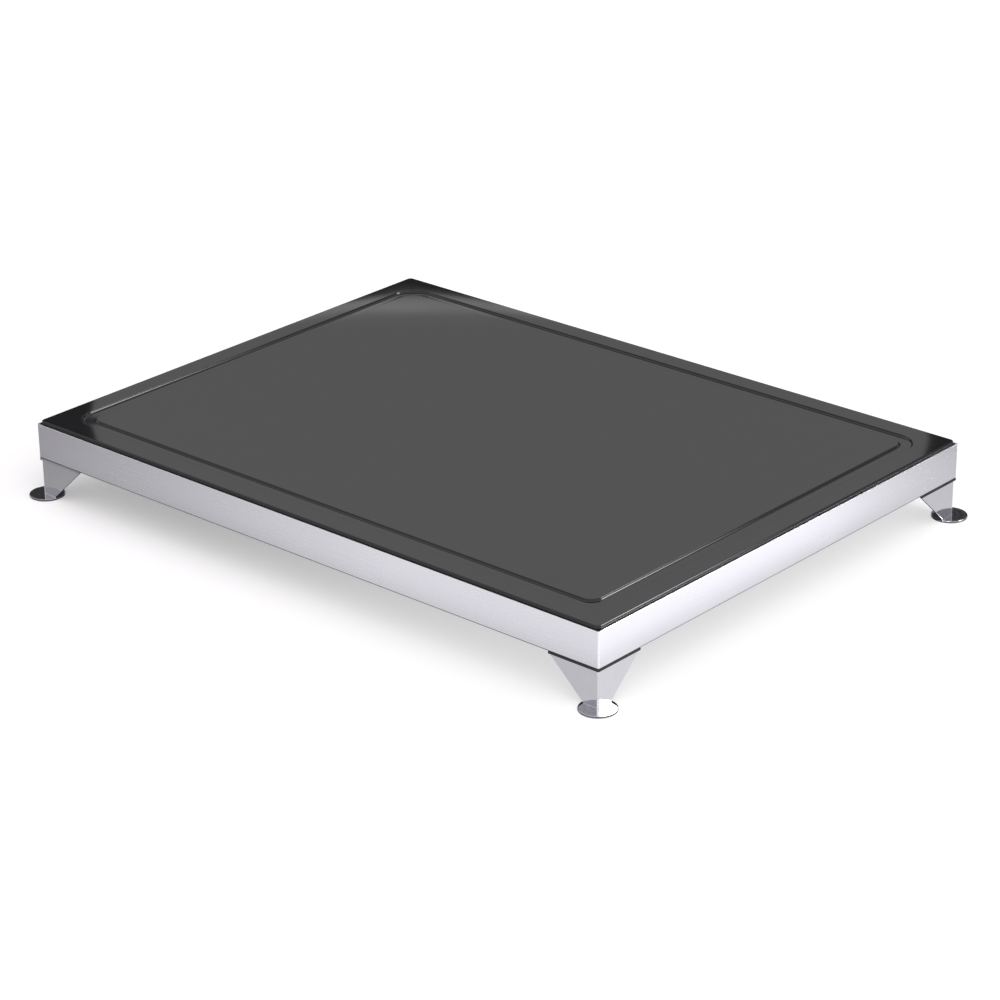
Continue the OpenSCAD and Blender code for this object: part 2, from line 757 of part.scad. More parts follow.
module slab_pads() {
    color("#3a3a3c")
        for (p = pad_places)
            on_side(p[0])
                translate([p[1], pad_inset - side_out[p[0]], rail_top]) cylinder(d = pad_d, h = pad_t);
}

// Frame

module skirt(side) {
    strip(side, 0, skirt_t, skirt_z0, rim_z);
}

// Cut-outs for the controls, through the skirt and the rail behind it
module rear_cuts() {
    back = -panel_t - lap;
    at_panel(inlet_x) {
        w = inlet_body_w / 2 + panel_gap;
        h = inlet_body_h / 2 + panel_gap;
        block([-w, back, -h], [w, lap, h]);
        for (s = [-1, 1])
            translate([s * inlet_screw_out, 0, 0]) rod_y(inlet_screw_d + 2 * hole_gap, back, lap);
    }
    at_panel(switch_x) {
        w = switch_body_w / 2 + panel_gap;
        h = switch_body_h / 2 + panel_gap;
        block([-w, back, -h], [w, lap, h]);
    }
    at_panel(lamp_x) rod_y(lamp_d + 2 * panel_gap, back, lap);
    at_panel(knob_x) rod_y(dial_bush_d + 2 * panel_gap, back, lap);
}

module front_skirt() {
    color("#d6d6da") skirt(front_side);
}

module rear_skirt() {
    color("#d6d6da")
        difference() {
            skirt(rear_side);
            rear_cuts();
        }
}

module left_skirt() {
    color("#d0d0d4") skirt(left_side);
}

module right_skirt() {
    color("#d0d0d4") skirt(right_side);
}

// A rail's web stops short of the legs, and its ledge is mitred at the corners
module rail(side) {
    half = side_out[(side + 1) % 4] - leg_inset - leg_top_w - leg_gap;
    on_side(side)
        block([-half, skirt_t - side_out[side], rail_z0], [half, panel_t - side_out[side], rail_top]);
    strip(side, skirt_t, rail_ledge, rail_under, rail_top);
}

module front_rail() {
    color("#b9bbbf") rail(front_side);
}

// The inlet's cut-out runs out of the rail's lower edge
module rear_rail() {
    color("#b9bbbf")
        difference() {
            rail(rear_side);
            rear_cuts();
            at_panel(inlet_x) {
                w = inlet_body_w / 2 + panel_gap;
                block([-w, -panel_t - lap, rail_z0 - control_z - lap], [w, lap, 0]);
            }
        }
}

module left_rail() {
    color("#b3b5b9") rail(left_side);
}

module right_rail() {
    color("#b3b5b9") rail(right_side);
}

// Legs and feet

module leg_flange() {
    difference() {
        translate([0, leg_t, 0])
            rotate([90, 0, 0])
                linear_extrude(leg_t)
                    polygon([[0, foot_t], [leg_foot_w, foot_t], [leg_top_w, skirt_z0 - leg_land],
                        [leg_top_w, skirt_z0 + leg_tuck], [0, skirt_z0 + leg_tuck]]);
        at_stud() rod_y(stud_d + 2 * hole_gap, -lap, leg_t + lap);
    }
}

module at_stud() {
    translate([stud_out, 0, skirt_z0 + stud_rise]) children();
}

module leg(corner) {
    color("#c9cace") at_corner(corner, leg_inset) both_flanges() leg_flange();
}

module front_left_leg() {
    leg(leg_corners[0]);
}

module front_right_leg() {
    leg(leg_corners[1]);
}

module rear_left_leg() {
    leg(leg_corners[2]);
}

module rear_right_leg() {
    leg(leg_corners[3]);
}

// A strip round the outside of each leg, under the skirt's lower edge
module leg_seals() {
    color("#2a2a2c")
        for (c = leg_corners)
            at_corner(c, seal_set)
                both_flanges()
                    block([0, 0, skirt_z0 - seal_h],
                        [leg_inset + leg_top_w - seal_set, leg_inset - seal_set, skirt_z0]);
}

module foot(corner) {
    r = foot_d / 2;
    b = foot_bevel;
    color("#dcdce0")
        at_corner(corner, foot_inset)
            rotate_extrude()
                polygon([[0, 0], [r - b, 0], [r, b], [r, foot_t - b], [r - b, foot_t], [0, foot_t]]);
}

module front_left_foot() {
    foot(leg_corners[0]);
}

module front_right_foot() {
    foot(leg_corners[1]);
}

module rear_left_foot() {
    foot(leg_corners[2]);
}

module rear_right_foot() {
    foot(leg_corners[3]);
}

module leg_studs() {
    color("#a9abb0")
        for (c = leg_corners)
            at_corner(c, leg_inset) both_flanges() at_stud() rod_y(stud_d, 0, stud_len);
}

module leg_nuts() {
    color("#9fa1a6")
        for (c = leg_corners)
            at_corner(c, leg_inset)
                both_flanges()
                    at_stud()
                        translate([0, leg_t, 0])
                            rotate([-90, 0, 0]) nut(leg_nut_af, leg_nut_t, stud_d + 2 * thread_gap);
}

// Bottom pan

// Places children at a pan bracket, with +Y inwards from the rail
module at_bracket(place) {
    on_side(place[0]) translate([place[1], panel_t - side_out[place[0]], pan_top]) children();
}

module bottom_pan() {
    color("#a5a7ab")
        difference() {
            block([pan_inset - half_l, pan_inset - half_w, pan_z0],
                [half_l - pan_inset, half_w - pan_inset, pan_top]);
            for (p = bracket_places)
                at_bracket(p)
                    translate([0, bracket_hole_in, -pan_t - lap])
                        cylinder(d = pan_screw_d + 2 * hole_gap, h = pan_t + 2 * lap);
        }
}

module pan_brackets() {
    color("#aeb0b5")
        for (p = bracket_places)
            at_bracket(p)
                difference() {
                    union() {
                        block([-bracket_w / 2, 0, 0], [bracket_w / 2, bracket_t, bracket_h]);
                        block([-bracket_w / 2, 0, 0], [bracket_w / 2, bracket_reach, bracket_t]);
                    }
                    translate([0, bracket_hole_in, -lap])
                        cylinder(d = pan_screw_d + 2 * thread_gap, h = bracket_t + 2 * lap);
                }
}

module pan_screws() {
    color("#8f9196")
        for (p = bracket_places)
            at_bracket(p)
                translate([0, bracket_hole_in, -pan_t]) {
                    cylinder(d = pan_screw_d, h = pan_t + bracket_t + pan_screw_point);
                    translate([0, 0, -pan_head_t]) cylinder(d = pan_head_d, h = pan_head_t);
                }
}

// Heater

module heat_spreader() {
    color("#c3c6ca")
        difference() {
            block([-spreader_x, spreader_y0, spreader_z0], [spreader_x, spreader_y1, spreader_top]);
            for (p = rivet_places)
                translate([p[0], p[1], spreader_z0 - lap])
                    cylinder(d = rivet_d + 2 * hole_gap, h = spreader_t + 2 * lap);
        }
}

module heating_mat() {
    color("#b5512e") {
        block([-mat_x, mat_y0, mat_z0], [mat_x, mat_y1, spreader_z0]);
        block([patch_x - patch_w / 2, mat_y1, spreader_z0 - patch_t],
            [patch_x + patch_w / 2, mat_y1 + patch_d, spreader_z0]);
    }
}

module insulation_board() {
    color("#d8cfa8") block([-mat_x, mat_y0, pan_top], [mat_x, mat_y1, mat_z0]);
}

// A flange under the spreader, with its rivet holes
module heater_flange(x0, x1, holes) {
    difference() {
        block([x0, overhang_y - heater_flange_w / 2, spreader_z0 - heater_flange_t],
            [x1, overhang_y + heater_flange_w / 2, spreader_z0]);
        for (x = holes)
            translate([x, overhang_y, spreader_z0 - heater_flange_t - lap])
                cylinder(d = rivet_d + 2 * hole_gap, h = heater_flange_t + 2 * lap);
    }
}

module thermal_cutout() {
    color("#2f2a28") {
        heater_flange(cutout_x - cutout_flange_l / 2, cutout_x + cutout_flange_l / 2,
            [cutout_x - cutout_rivet_out, cutout_x + cutout_rivet_out]);
        translate([cutout_x, overhang_y, cutout_z0]) cylinder(d = cutout_d, h = cutout_h);
        block([cutout_x - cutout_tab_out, overhang_y - cutout_tab_w / 2, cutout_z0 + cutout_tab_rise],
            [cutout_x + cutout_tab_out, overhang_y + cutout_tab_w / 2,
                cutout_z0 + cutout_tab_rise + cutout_tab_t]);
    }
}

module temperature_sensor() {
    color("#8d8f94") {
        block([sensor_x - sensor_l / 2, overhang_y - sensor_w / 2, spreader_z0 - sensor_h],
            [sensor_x + sensor_l / 2, overhang_y + sensor_w / 2, spreader_z0]);
        heater_flange(sensor_x - sensor_l / 2 - sensor_lug_l, sensor_x - sensor_l / 2, [sensor_rivet_x]);
    }
}

module heater_rivets() {
    color("#b7b9bd")
        for (p = rivet_places)
            translate([p[0], p[1], spreader_z0 - heater_flange_t]) {
                cylinder(d = rivet_d, h = heater_flange_t + spreader_t);
                translate([0, 0, -rivet_head_t]) cylinder(d = rivet_head_d, h = rivet_head_t);
            }
}

// Inlet

module inlet_socket_outline() {
    w = inlet_socket_w / 2;
    h = inlet_socket_h / 2;
    c = inlet_socket_cut;
    polygon([[-w, -h], [w, -h], [w, h - c], [w - c, h], [c - w, h], [-w, h - c]]);
}

// Extrudes an outline drawn in X and Z along Y
module along_y(y0, y1) {
    translate([0, y1, 0]) rotate([90, 0, 0]) linear_extrude(y1 - y0) children();
}

module inlet_pin_shapes() {
    tip = inlet_wall_y + inlet_pin_l;
    tail = -inlet_body_d - inlet_tail;
    for (p = [[-inlet_pin_out, -inlet_pin_off], [inlet_pin_out, -inlet_pin_off], [0, inlet_pin_off]])
        block([p[0] - inlet_pin_w / 2, tail, p[1] - inlet_pin_h / 2],
            [p[0] + inlet_pin_w / 2, tip, p[1] + inlet_pin_h / 2]);
}

module inlet_housing() {
    color("#222224")
        at_panel(inlet_x)
            difference() {
                union() {
                    along_y(0, inlet_flange_t)
                        rounded_rect(inlet_flange_w, inlet_flange_h, inlet_flange_r);
                    block([-inlet_body_w / 2, -inlet_body_d, -inlet_body_h / 2],
                        [inlet_body_w / 2, inlet_flange_t / 2, inlet_body_h / 2]);
                }
                along_y(inlet_wall_y, inlet_flange_t + lap) inlet_socket_outline();
                inlet_pin_shapes();
                for (s = [-1, 1])
                    translate([s * inlet_screw_out, 0, 0])
                        rod_y(inlet_screw_d + 2 * hole_gap, -lap, inlet_flange_t + lap);
            }
}

module inlet_pins() {
    color("#c8b27a") at_panel(inlet_x) inlet_pin_shapes();
}

module inlet_screws() {
    color("#a9abb0")
        at_panel(inlet_x)
            for (s = [-1, 1])
                translate([s * inlet_screw_out, 0, 0]) {
                    rod_y(inlet_screw_d, -panel_t - inlet_nut_t, inlet_flange_t);
                    rod_y(inlet_head_d, inlet_flange_t, inlet_flange_t + inlet_head_t);
                }
}

module inlet_nuts() {
    color("#9fa1a6")
        at_panel(inlet_x)
            for (s = [-1, 1])
                translate([s * inlet_screw_out, -panel_t, 0])
                    rotate([90, 0, 0]) nut(inlet_nut_af, inlet_nut_t, inlet_screw_d + 2 * thread_gap);
}

// Switch

module rocker_tab_shapes() {
    for (s = [-1, 1])
        block([s * switch_tab_out - switch_tab_w / 2, -switch_body_d - switch_tail, -switch_tab_h / 2],
            [s * switch_tab_out + switch_tab_w / 2, -switch_body_d + switch_tab_in, switch_tab_h / 2]);
}

module rocker_housing() {
    color("#1f1f21")
        at_panel(switch_x)
            difference() {
                union() {
                    along_y(0, switch_bezel_t)
                        rounded_rect(switch_bezel_w, switch_bezel_h, switch_bezel_r);
                    block([-switch_body_w / 2, -switch_body_d, -switch_body_h / 2],
                        [switch_body_w / 2, switch_bezel_t / 2, switch_body_h / 2]);
                }
                block([-switch_well_w / 2, -switch_well_d, -switch_well_h / 2],
                    [switch_well_w / 2, switch_bezel_t + lap, switch_well_h / 2]);
                translate([0, -rocker_pivot, -switch_body_h / 2 - lap])
                    cylinder(d = rocker_pin_d + 2 * turn_gap, h = switch_body_h + 2 * lap);
                rocker_tab_shapes();
            }
}

module rocker_contacts() {
    color("#c8b27a") at_panel(switch_x) rocker_tab_shapes();
}

// The rocker lies at off, tipped half its swing about its upright pivot
module rocker_button() {
    l = rocker_half_l;
    color("#b3262b")
        at_panel(switch_x)
            translate([0, -rocker_pivot, 0])
                rotate(-rocker_swing / 2)
                    translate([0, rocker_pivot, 0]) {
                        translate([0, 0, -rocker_half_h])
                            linear_extrude(2 * rocker_half_h)
                                polygon([[-l, rocker_end], [-l, -rocker_skirt],
                                    [-rocker_keel_half_l, -rocker_keel], [rocker_keel_half_l, -rocker_keel],
                                    [l, -rocker_skirt], [l, rocker_end], [0, rocker_mid]]);
                        translate([0, -rocker_pivot, -switch_body_h / 2])
                            cylinder(d = rocker_pin_d, h = switch_body_h);
                    }
}

// Temperature control

module dial_body() {
    back = -panel_t - dial_body_l;
    color("#3b3d42")
        at_panel(knob_x)
            difference() {
                union() {
                    rod_y(dial_body_d, back, -panel_t);
                    rod_y(dial_bush_d, -panel_t - lap, dial_bush_l);
                    block([-dial_wafer, back - dial_wafer, -dial_wafer / 2],
                        [dial_wafer, back + lap, dial_wafer / 2]);
                }
                rod_y(dial_shaft_d + 2 * turn_gap, -panel_t - dial_shaft_in - hole_gap, dial_bush_l + lap);
            }
}

module dial_nut() {
    color("#a9abb0")
        at_panel(knob_x)
            rotate([-90, 0, 0]) nut(dial_nut_af, dial_nut_t, dial_bush_d + 2 * thread_gap);
}

// Places children on the knob's axis, turned to off
module at_knob() {
    at_panel(knob_x) rotate([0, knob_sweep / 2, 0]) children();
}

// The shaft's section where it carries the knob, with its flat; grow is its clearance all round
module shaft_outline(grow) {
    r = dial_shaft_d / 2;
    intersection() {
        circle(r = r + grow);
        translate([-2 * r, -2 * r]) square([4 * r, 3 * r - dial_flat + grow]);
    }
}

module dial_shaft() {
    color("#b7b9bd")
        at_knob() {
            rod_y(dial_shaft_d, -panel_t - dial_shaft_in, knob_gap + dial_bush_l);
            along_y(knob_gap + dial_bush_l, shaft_end) shaft_outline(0);
        }
}

module control_knob() {
    color("#1f1f21")
        at_knob()
            difference() {
                rod_y(knob_d, knob_gap, knob_end);
                rod_y(knob_well_d, knob_gap - lap, knob_gap + dial_bush_l);
                along_y(knob_gap + dial_bush_l - lap, shaft_end) shaft_outline(thread_gap);
                for (i = [0:knob_grips - 1])
                    rotate([0, 360 * (i + 0.5) / knob_grips, 0])
                        translate([0, 0, knob_d / 2 + knob_grip_d / 2 - knob_grip_depth])
                            rod_y(knob_grip_d, knob_gap + knob_collar, knob_end + lap);
                block([-knob_mark_w / 2, knob_end - knob_mark_d, 0],
                    [knob_mark_w / 2, knob_end + lap, knob_d / 2 - knob_grip_depth - lap]);
            }
}

// Lamp

module lamp_body() {
    color("#c9cace")
        at_panel(lamp_x) {
            rod_y(lamp_d, -lamp_body_l, lamp_collar_t);
            rod_y(lamp_collar_d, 0, lamp_collar_t);
        }
}

module lamp_lens() {
    r = lamp_lens_d / 2;
    color("#d8781f")
        at_panel(lamp_x)
            translate([0, lamp_collar_t, 0])
                rotate([-90, 0, 0])
                    rotate_extrude() {
                        square([r - lamp_lens_r, lamp_lens_h]);
                        square([r, lamp_lens_h - lamp_lens_r]);
                        translate([r - lamp_lens_r, lamp_lens_h - lamp_lens_r])
                            circle(r = lamp_lens_r);
                    }
}

module lamp_nut() {
    color("#a9abb0")
        at_panel(lamp_x)
            translate([0, -panel_t, 0])
                rotate([90, 0, 0]) nut(lamp_nut_af, lamp_nut_t, lamp_d + 2 * thread_gap);
}

// Control board

module control_board() {
    color("#2c6b45")
        difference() {
            block([board_left, board_y - board_w / 2, board_z0],
                [board_left + board_l, board_rear, board_top]);
            for (p = post_places)
                translate([p[0], p[1], board_z0 - lap])
                    cylinder(d = board_screw_d + 2 * hole_gap, h = board_t + 2 * lap);
        }
}

module board_posts() {
    color("#c8b27a")
        for (p = post_places)
            translate([p[0], p[1], pan_top])
                difference() {
                    cylinder(d = post_d, h = post_h);
                    translate([0, 0, -lap])
                        cylinder(d = board_screw_d + 2 * thread_gap, h = post_h + 2 * lap);
                }
}

module board_screws() {
    color("#a9abb0")
        for (p = post_places)
            translate([p[0], p[1], pan_top]) {
                cylinder(d = board_screw_d, h = post_h + board_t);
                translate([0, 0, post_h + board_t]) cylinder(d = board_head_d, h = board_head_t);
            }
}

module board_relay() {
    x0 = board_left + relay_in;
    color("#2a4a7c")
        block([x0, board_y - relay_w / 2 - post_in, board_top],
            [x0 + relay_l, board_y + relay_w / 2 - post_in, board_top + relay_h]);
}

module board_capacitors() {
    color("#35373c")
        for (i = [0, 1])
            translate([board_left + cap_in + i * cap_pitch, board_y, board_top])
                cylinder(d = cap_d, h = cap_h);
}

module board_terminals() {
    color("#3f7d4f")
        difference() {
            block([way_x, way_y[0] - way_pitch / 2, board_top],
                [way_x + way_d, way_y[3] + way_pitch / 2, board_top + way_h]);
            for (y = way_y)
                translate([way_x + way_d / 2, y, board_top + way_h - way_well_h])
                    cylinder(d = way_well_d, h = way_well_h + lap);
        }
}

// Earth point and wiring

module at_earth() {
    translate([earth_x, earth_y, pan_top]) children();
}

module earth_stud() {
    color("#b7b9bd") at_earth() cylinder(d = earth_stud_d, h = earth_stud_h);
}

module earth_nut() {
    color("#9fa1a6")
        at_earth()
            translate([0, 0, earth_lug_t]) nut(earth_nut_af, earth_nut_t, earth_stud_d + 2 * thread_gap);
}

module live_leads() {
    color("#6b3f24") for (r = live_routes) lead(r, lead_d);
}

module neutral_leads() {
    color("#2f62b3") for (r = neutral_routes) lead(r, lead_d);
}

// The earth lead ends in a ring lug on the stud
module earth_lead() {
    color("#7fae3c") {
        lead(earth_route, lead_d);
        at_earth()
            difference() {
                cylinder(d = earth_lug_d, h = earth_lug_t);
                translate([0, 0, -lap])
                    cylinder(d = earth_stud_d + 2 * hole_gap, h = earth_lug_t + 2 * lap);
            }
    }
}

module sensor_lead() {
    color("#d9d9d6") lead(sensor_route, signal_d);
}

module dial_lead() {
    color("#8d8f94") lead(dial_route, signal_d);
}

module lamp_lead() {
    color("#4a4c50") lead(lamp_route, signal_d);
}

carving_slab();
front_skirt();
rear_skirt();
left_skirt();
right_skirt();
front_rail();
rear_rail();
left_rail();
right_rail();
front_left_leg();
front_right_leg();
rear_left_leg();
rear_right_leg();
front_left_foot();
front_right_foot();
rear_left_foot();
rear_right_foot();
slab_pads();
leg_seals();
leg_studs();
leg_nuts();
bottom_pan();
pan_brackets();
pan_screws();
heat_spreader();
heating_mat();
insulation_board();
thermal_cutout();
temperature_sensor();
heater_rivets();
inlet_housing();
inlet_pins();
inlet_screws();
inlet_nuts();
rocker_housing();
rocker_contacts();
rocker_button();
dial_body();
dial_nut();
dial_shaft();
control_knob();
lamp_body();
lamp_lens();
lamp_nut();
control_board();
board_posts();
board_screws();
board_relay();
board_capacitors();
board_terminals();
earth_stud();
earth_nut();
live_leads();
neutral_leads();
earth_lead();
sensor_lead();
dial_lead();
lamp_lead();
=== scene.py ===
"""Heated carving station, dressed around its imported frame.

Each piece is modelled in metres where the frame says, or is an eased copy of one of the frame's nodes.
It rides on one of the frame's bodies and takes a procedural finish. Only the marks stand for no node.
"""
import functools
import json
import math

import bmesh
import bpy
from mathutils import Matrix, Quaternion, Vector

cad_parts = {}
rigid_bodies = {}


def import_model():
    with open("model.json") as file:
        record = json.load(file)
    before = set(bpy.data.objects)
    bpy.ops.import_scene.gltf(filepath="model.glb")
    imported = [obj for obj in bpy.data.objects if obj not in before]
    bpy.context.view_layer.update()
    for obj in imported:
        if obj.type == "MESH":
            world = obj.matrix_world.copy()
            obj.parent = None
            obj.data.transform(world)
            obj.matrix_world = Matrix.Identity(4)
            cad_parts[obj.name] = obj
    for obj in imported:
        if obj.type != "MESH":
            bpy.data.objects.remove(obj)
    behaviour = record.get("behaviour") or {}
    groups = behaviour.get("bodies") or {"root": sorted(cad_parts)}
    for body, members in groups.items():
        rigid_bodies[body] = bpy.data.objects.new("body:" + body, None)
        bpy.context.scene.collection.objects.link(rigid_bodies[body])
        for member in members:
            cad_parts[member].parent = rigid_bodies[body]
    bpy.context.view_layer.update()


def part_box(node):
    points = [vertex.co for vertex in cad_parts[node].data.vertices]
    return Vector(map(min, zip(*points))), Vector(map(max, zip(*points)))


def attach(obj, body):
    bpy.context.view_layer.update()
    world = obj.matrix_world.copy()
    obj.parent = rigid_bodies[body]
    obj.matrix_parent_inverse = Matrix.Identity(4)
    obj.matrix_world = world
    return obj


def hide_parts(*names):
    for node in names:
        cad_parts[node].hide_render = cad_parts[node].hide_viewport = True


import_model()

bl_info = {
    "name": "Heated carving station",
    "version": (1, 0, 0),
    "blender": (4, 5, 0),
    "location": "View3D > Sidebar > Station",
    "description": "Models and finishes a heated carving station around its frame",
    "category": "Object",
}

MM = 0.001
# What counts as one place: for points, and for a cut through a mesh
NEAR = 2e-6
CUT_NEAR = 1e-7

# Sizes and places that the frame gives
SLAB_LOW, SLAB_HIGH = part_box("carving_slab")
SKIRT_LOW, SKIRT_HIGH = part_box("front_skirt")
HALF_L = SKIRT_HIGH.x
HALF_W = -SKIRT_LOW.y
SKIRT_T = SKIRT_HIGH.y - SKIRT_LOW.y
SKIRT_Z0 = SKIRT_LOW.z
RIM_Z = SKIRT_HIGH.z
LEG_LOW, LEG_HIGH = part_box("front_left_leg")
FOOT_LOW, FOOT_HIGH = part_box("front_left_foot")
KNOB_LOW, KNOB_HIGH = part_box("control_knob")
LENS_LOW, LENS_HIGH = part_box("lamp_lens")
INLET_LOW, INLET_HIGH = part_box("inlet_housing")
SWITCH_LOW, SWITCH_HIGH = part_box("rocker_housing")
CONTROL_Z = (INLET_LOW.z + INLET_HIGH.z) / 2
INLET_X = (INLET_LOW.x + INLET_HIGH.x) / 2
SWITCH_X = (SWITCH_LOW.x + SWITCH_HIGH.x) / 2
LAMP_X = (LENS_LOW.x + LENS_HIGH.x) / 2
KNOB_X = (KNOB_LOW.x + KNOB_HIGH.x) / 2

# Outward direction of each side
SIDES = {"front": Vector((0, -1, 0)), "right": Vector((1, 0, 0)),
         "rear": Vector((0, 1, 0)), "left": Vector((-1, 0, 0))}
# Corners, each with the quarter turns that bring the front left one to it
CORNERS = {"front_left": 0, "front_right": 1, "rear_right": 2, "rear_left": 3}

# How far in from the slab's sides its honed faces lie, and from a leg's bend its polished ones
SIDE_BAND, BEND_BAND = 2 * MM, 3 * MM
# Step round the sole of a foot, and half the length of what cuts a stud's hole
SOLE_STEP, STUD_CUT = 0.2 * MM, 10 * MM
# Screws: head radius, head height, shank radius and shank length
PAN_SCREW = (3.75 * MM, 1.8 * MM, 2 * MM, 5.5 * MM)
INLET_SCREW = (2.75 * MM, 2 * MM, 1.5 * MM, 7.6 * MM)
BOARD_SCREW = (2.75 * MM, 2 * MM, 1.5 * MM, 6.6 * MM)
# Cross recess: reach, half width and floor as shares of the screw's head, and the taper to its floor
RECESS_REACH, RECESS_HALF, RECESS_FLOOR = 0.52, 0.1, 0.3
RECESS_TAPER = (0.55, 0.6, 1)
# Rounding of a screw's head and tip, as shares of the head's height and of the shank's radius
HEAD_ROUND, TIP_ROUND = 0.5, 0.3
# Marks on the rocker: half their height, the stroke's half width and corners, and the ring's width
MARK_HALF, STROKE_HALF, STROKE_R, RING_W = 1.8 * MM, 0.45 * MM, 0.2 * MM, 0.75 * MM
# Place of a mark as a share of the rocker's half length
MARK_OUT = 0.55
# Knob: radius of its front edge, plain band round its face, and width and depth of the step to its face
KNOB_EDGE_R, KNOB_BAND, KNOB_STEP_W, KNOB_STEP_D = 0.9 * MM, 0.8 * MM, 0.4 * MM, 0.25 * MM
# The knob's mark: its depth below the face, its distance from the grips, and the easing of both pieces
MARK_SUNK, MARK_MARGIN, MARK_EDGE_R, GRIP_EDGE_R = 0.15 * MM, 0.5 * MM, 0.1 * MM, 0.12 * MM
# Scale: a tick's half width, its start and its end, the numbers' circle and the degrees of a step
TICK_HALF, TICK_START, TICK_END, NUMERAL_OUT, STEP = 0.25 * MM, 11.3 * MM, 12.9 * MM, 15.4 * MM, 50
# Height of a number as a share of its type size
CAP_SHARE = 0.7
# Lens: radius of its front edge, and the width, wall and depth of its ribs
LENS_EDGE_R, RIB_W, RIB_WALL, RIB_D = 1.2 * MM, 0.3 * MM, 0.15 * MM, 0.2 * MM

# Output of the texture coordinates that keeps to the object
OBJECT = 3
# Where the painted light on the leg seals, a paler grey towards the left end, starts and where it is full,
# along the station
SEAL_PAINTED_LIGHT = (-0.22, -0.26)
# Width of the camera's sensor in millimetres, and side of the floor in metres
SENSOR_W, FLOOR_SIDE = 36, 14
# Where the soft light comes from and the angle that it spans
KEY_FROM, KEY_SPREAD = Vector((0.7, -0.2, 1)), math.radians(70)
# Where the floor's painted shade, deeper at the left, fades out towards the right: its start and its end
FLOOR_SHADE_FADE = (-0.33, 0.3)
# Distance of the upright cards behind the station
BACK_FAR = 1.5
# Those cards: name, left, right, low and high edge, then the tone as below
BACK_CARDS = (
    ("flag_left", -1.6, -0.53, 0.0, 1.6, "flag_left", 0.035),
    ("flag_right", 0.575, 1.6, 0.0, 1.6, "flag_right", 0.035),
    ("flag_low", -0.53, 0.575, 0.0, 0.502, "flag_low", 0.012),
    ("panel", -0.53, 0.575, 0.525, 1.6, "panel_fade", 0.5, 0.76, "Z", 0.5, 1.0))
# Other cards: name, size, place, turn in degrees, then the tone's name, its two values, axis and ends
CARDS = (
    ("softbox", (1.4, 1.2), (1.2, 1.45, 1.15), (136.4, 37.45, 0), "softbox_glow", 14, 0.2, "Y", 1.34, 1.5),
    ("card_under", (0.6, 0.44), (0, 0, 0.0003), (0, 0, 0), "under_shade", 0.03),
    ("card_front", (1.2, 0.4), (-0.5, -0.965, 0.45), (90, 0, -35), "front_fade", 0.3, 1, "X", -0.25, -0.02),
    ("card_left", (1.063, 0.5), (-0.2185, -0.486, 0.0005), (0, 0, 0),
     "left_fade", 0.315, 0.845, "X", -0.42, 0.0),
    ("card_right", (0.5, 0.9), (0.563, 0.17, 0.0006), (0, 0, 0), "right_fade", 1.2, 0.44, "Y", 0.15, 0.37),
    ("card_near_left", (1.06, 0.06), (-0.2225, -0.2572, 0.0008), (0, 0, 0),
     "near_left_fade", 0.3, 0.57, "X", -0.4, 0.1),
    ("card_near_right", (0.06, 0.9), (0.3338, 0.17, 0.0009), (0, 0, 0),
     "near_right_fade", 0.77, 0.6, "Y", -0.2, 0.3),
    ("card_rear", (1.1, 0.6), (0, HALF_W + 0.3, 0.0004), (0, 0, 0), "rear_fade", 0.5, 0.9, "X", -0.4, 0.3),
    ("card_side", (0.6, 0.9), (-HALF_L - 0.3, 0, 0.0004), (0, 0, 0),
     "side_fade", 0.8, 0.45, "Y", -0.3, 0.25))


def linear(code):
    """A colour written as sRGB hex, in linear light."""
    channels = [int(code[i:i + 2], 16) / 255 for i in (0, 2, 4)]
    return tuple(c / 12.92 if c <= 0.04045 else ((c + 0.055) / 1.055) ** 2.4 for c in channels)


def length(name, millimetres, description):
    """A length that a user may change."""
    return bpy.props.FloatProperty(name=name, description=description, default=millimetres * MM, min=0,
                                   unit="LENGTH", precision=5)


def share(name, value, description):
    """A plain number that a user may change."""
    return bpy.props.FloatProperty(name=name, description=description, default=value, min=0)


def angle(name, degrees, description):
    """An angle that a user may change."""
    return bpy.props.FloatProperty(name=name, description=description, default=math.radians(degrees),
                                   unit="ROTATION")


def paint(name, code, description):
    """A colour that a user may change."""
    return bpy.props.FloatVectorProperty(name=name, description=description, default=linear(code), size=3,
                                         min=0, max=1, subtype="COLOR")


class StationSlab(bpy.types.PropertyGroup):
    """Sizes and colours of the stone slab"""
    corner_r: length("Corner radius", 4, "Radius of the slab's upright corners")
    edge_r: length("Edge radius", 1.2, "Radius of the slab's eased top edge")
    foot_r: length("Lower edge radius", 0.5, "Radius of the slab's lower edge")
    groove_margin: length("Groove margin", 18.5, "Distance from the slab's side to the juice groove")
    groove_w: length("Groove width", 11.5, "Width of the juice groove at the top")
    groove_d: length("Groove depth", 1.75, "Depth of the juice groove")
    groove_r: length("Groove corner radius", 22, "Outer corner radius of the juice groove")
    lip_r: length("Groove lip", 0.55, "Easing of the juice groove's lips")
    stone: paint("Stone", "1a191b", "Ground colour of the stone")
    cloud: paint("Cloud", "222124", "Colour of the paler clouds in the stone")
    fleck: paint("Fleck", "5c5b60", "Colour of the mineral flecks")


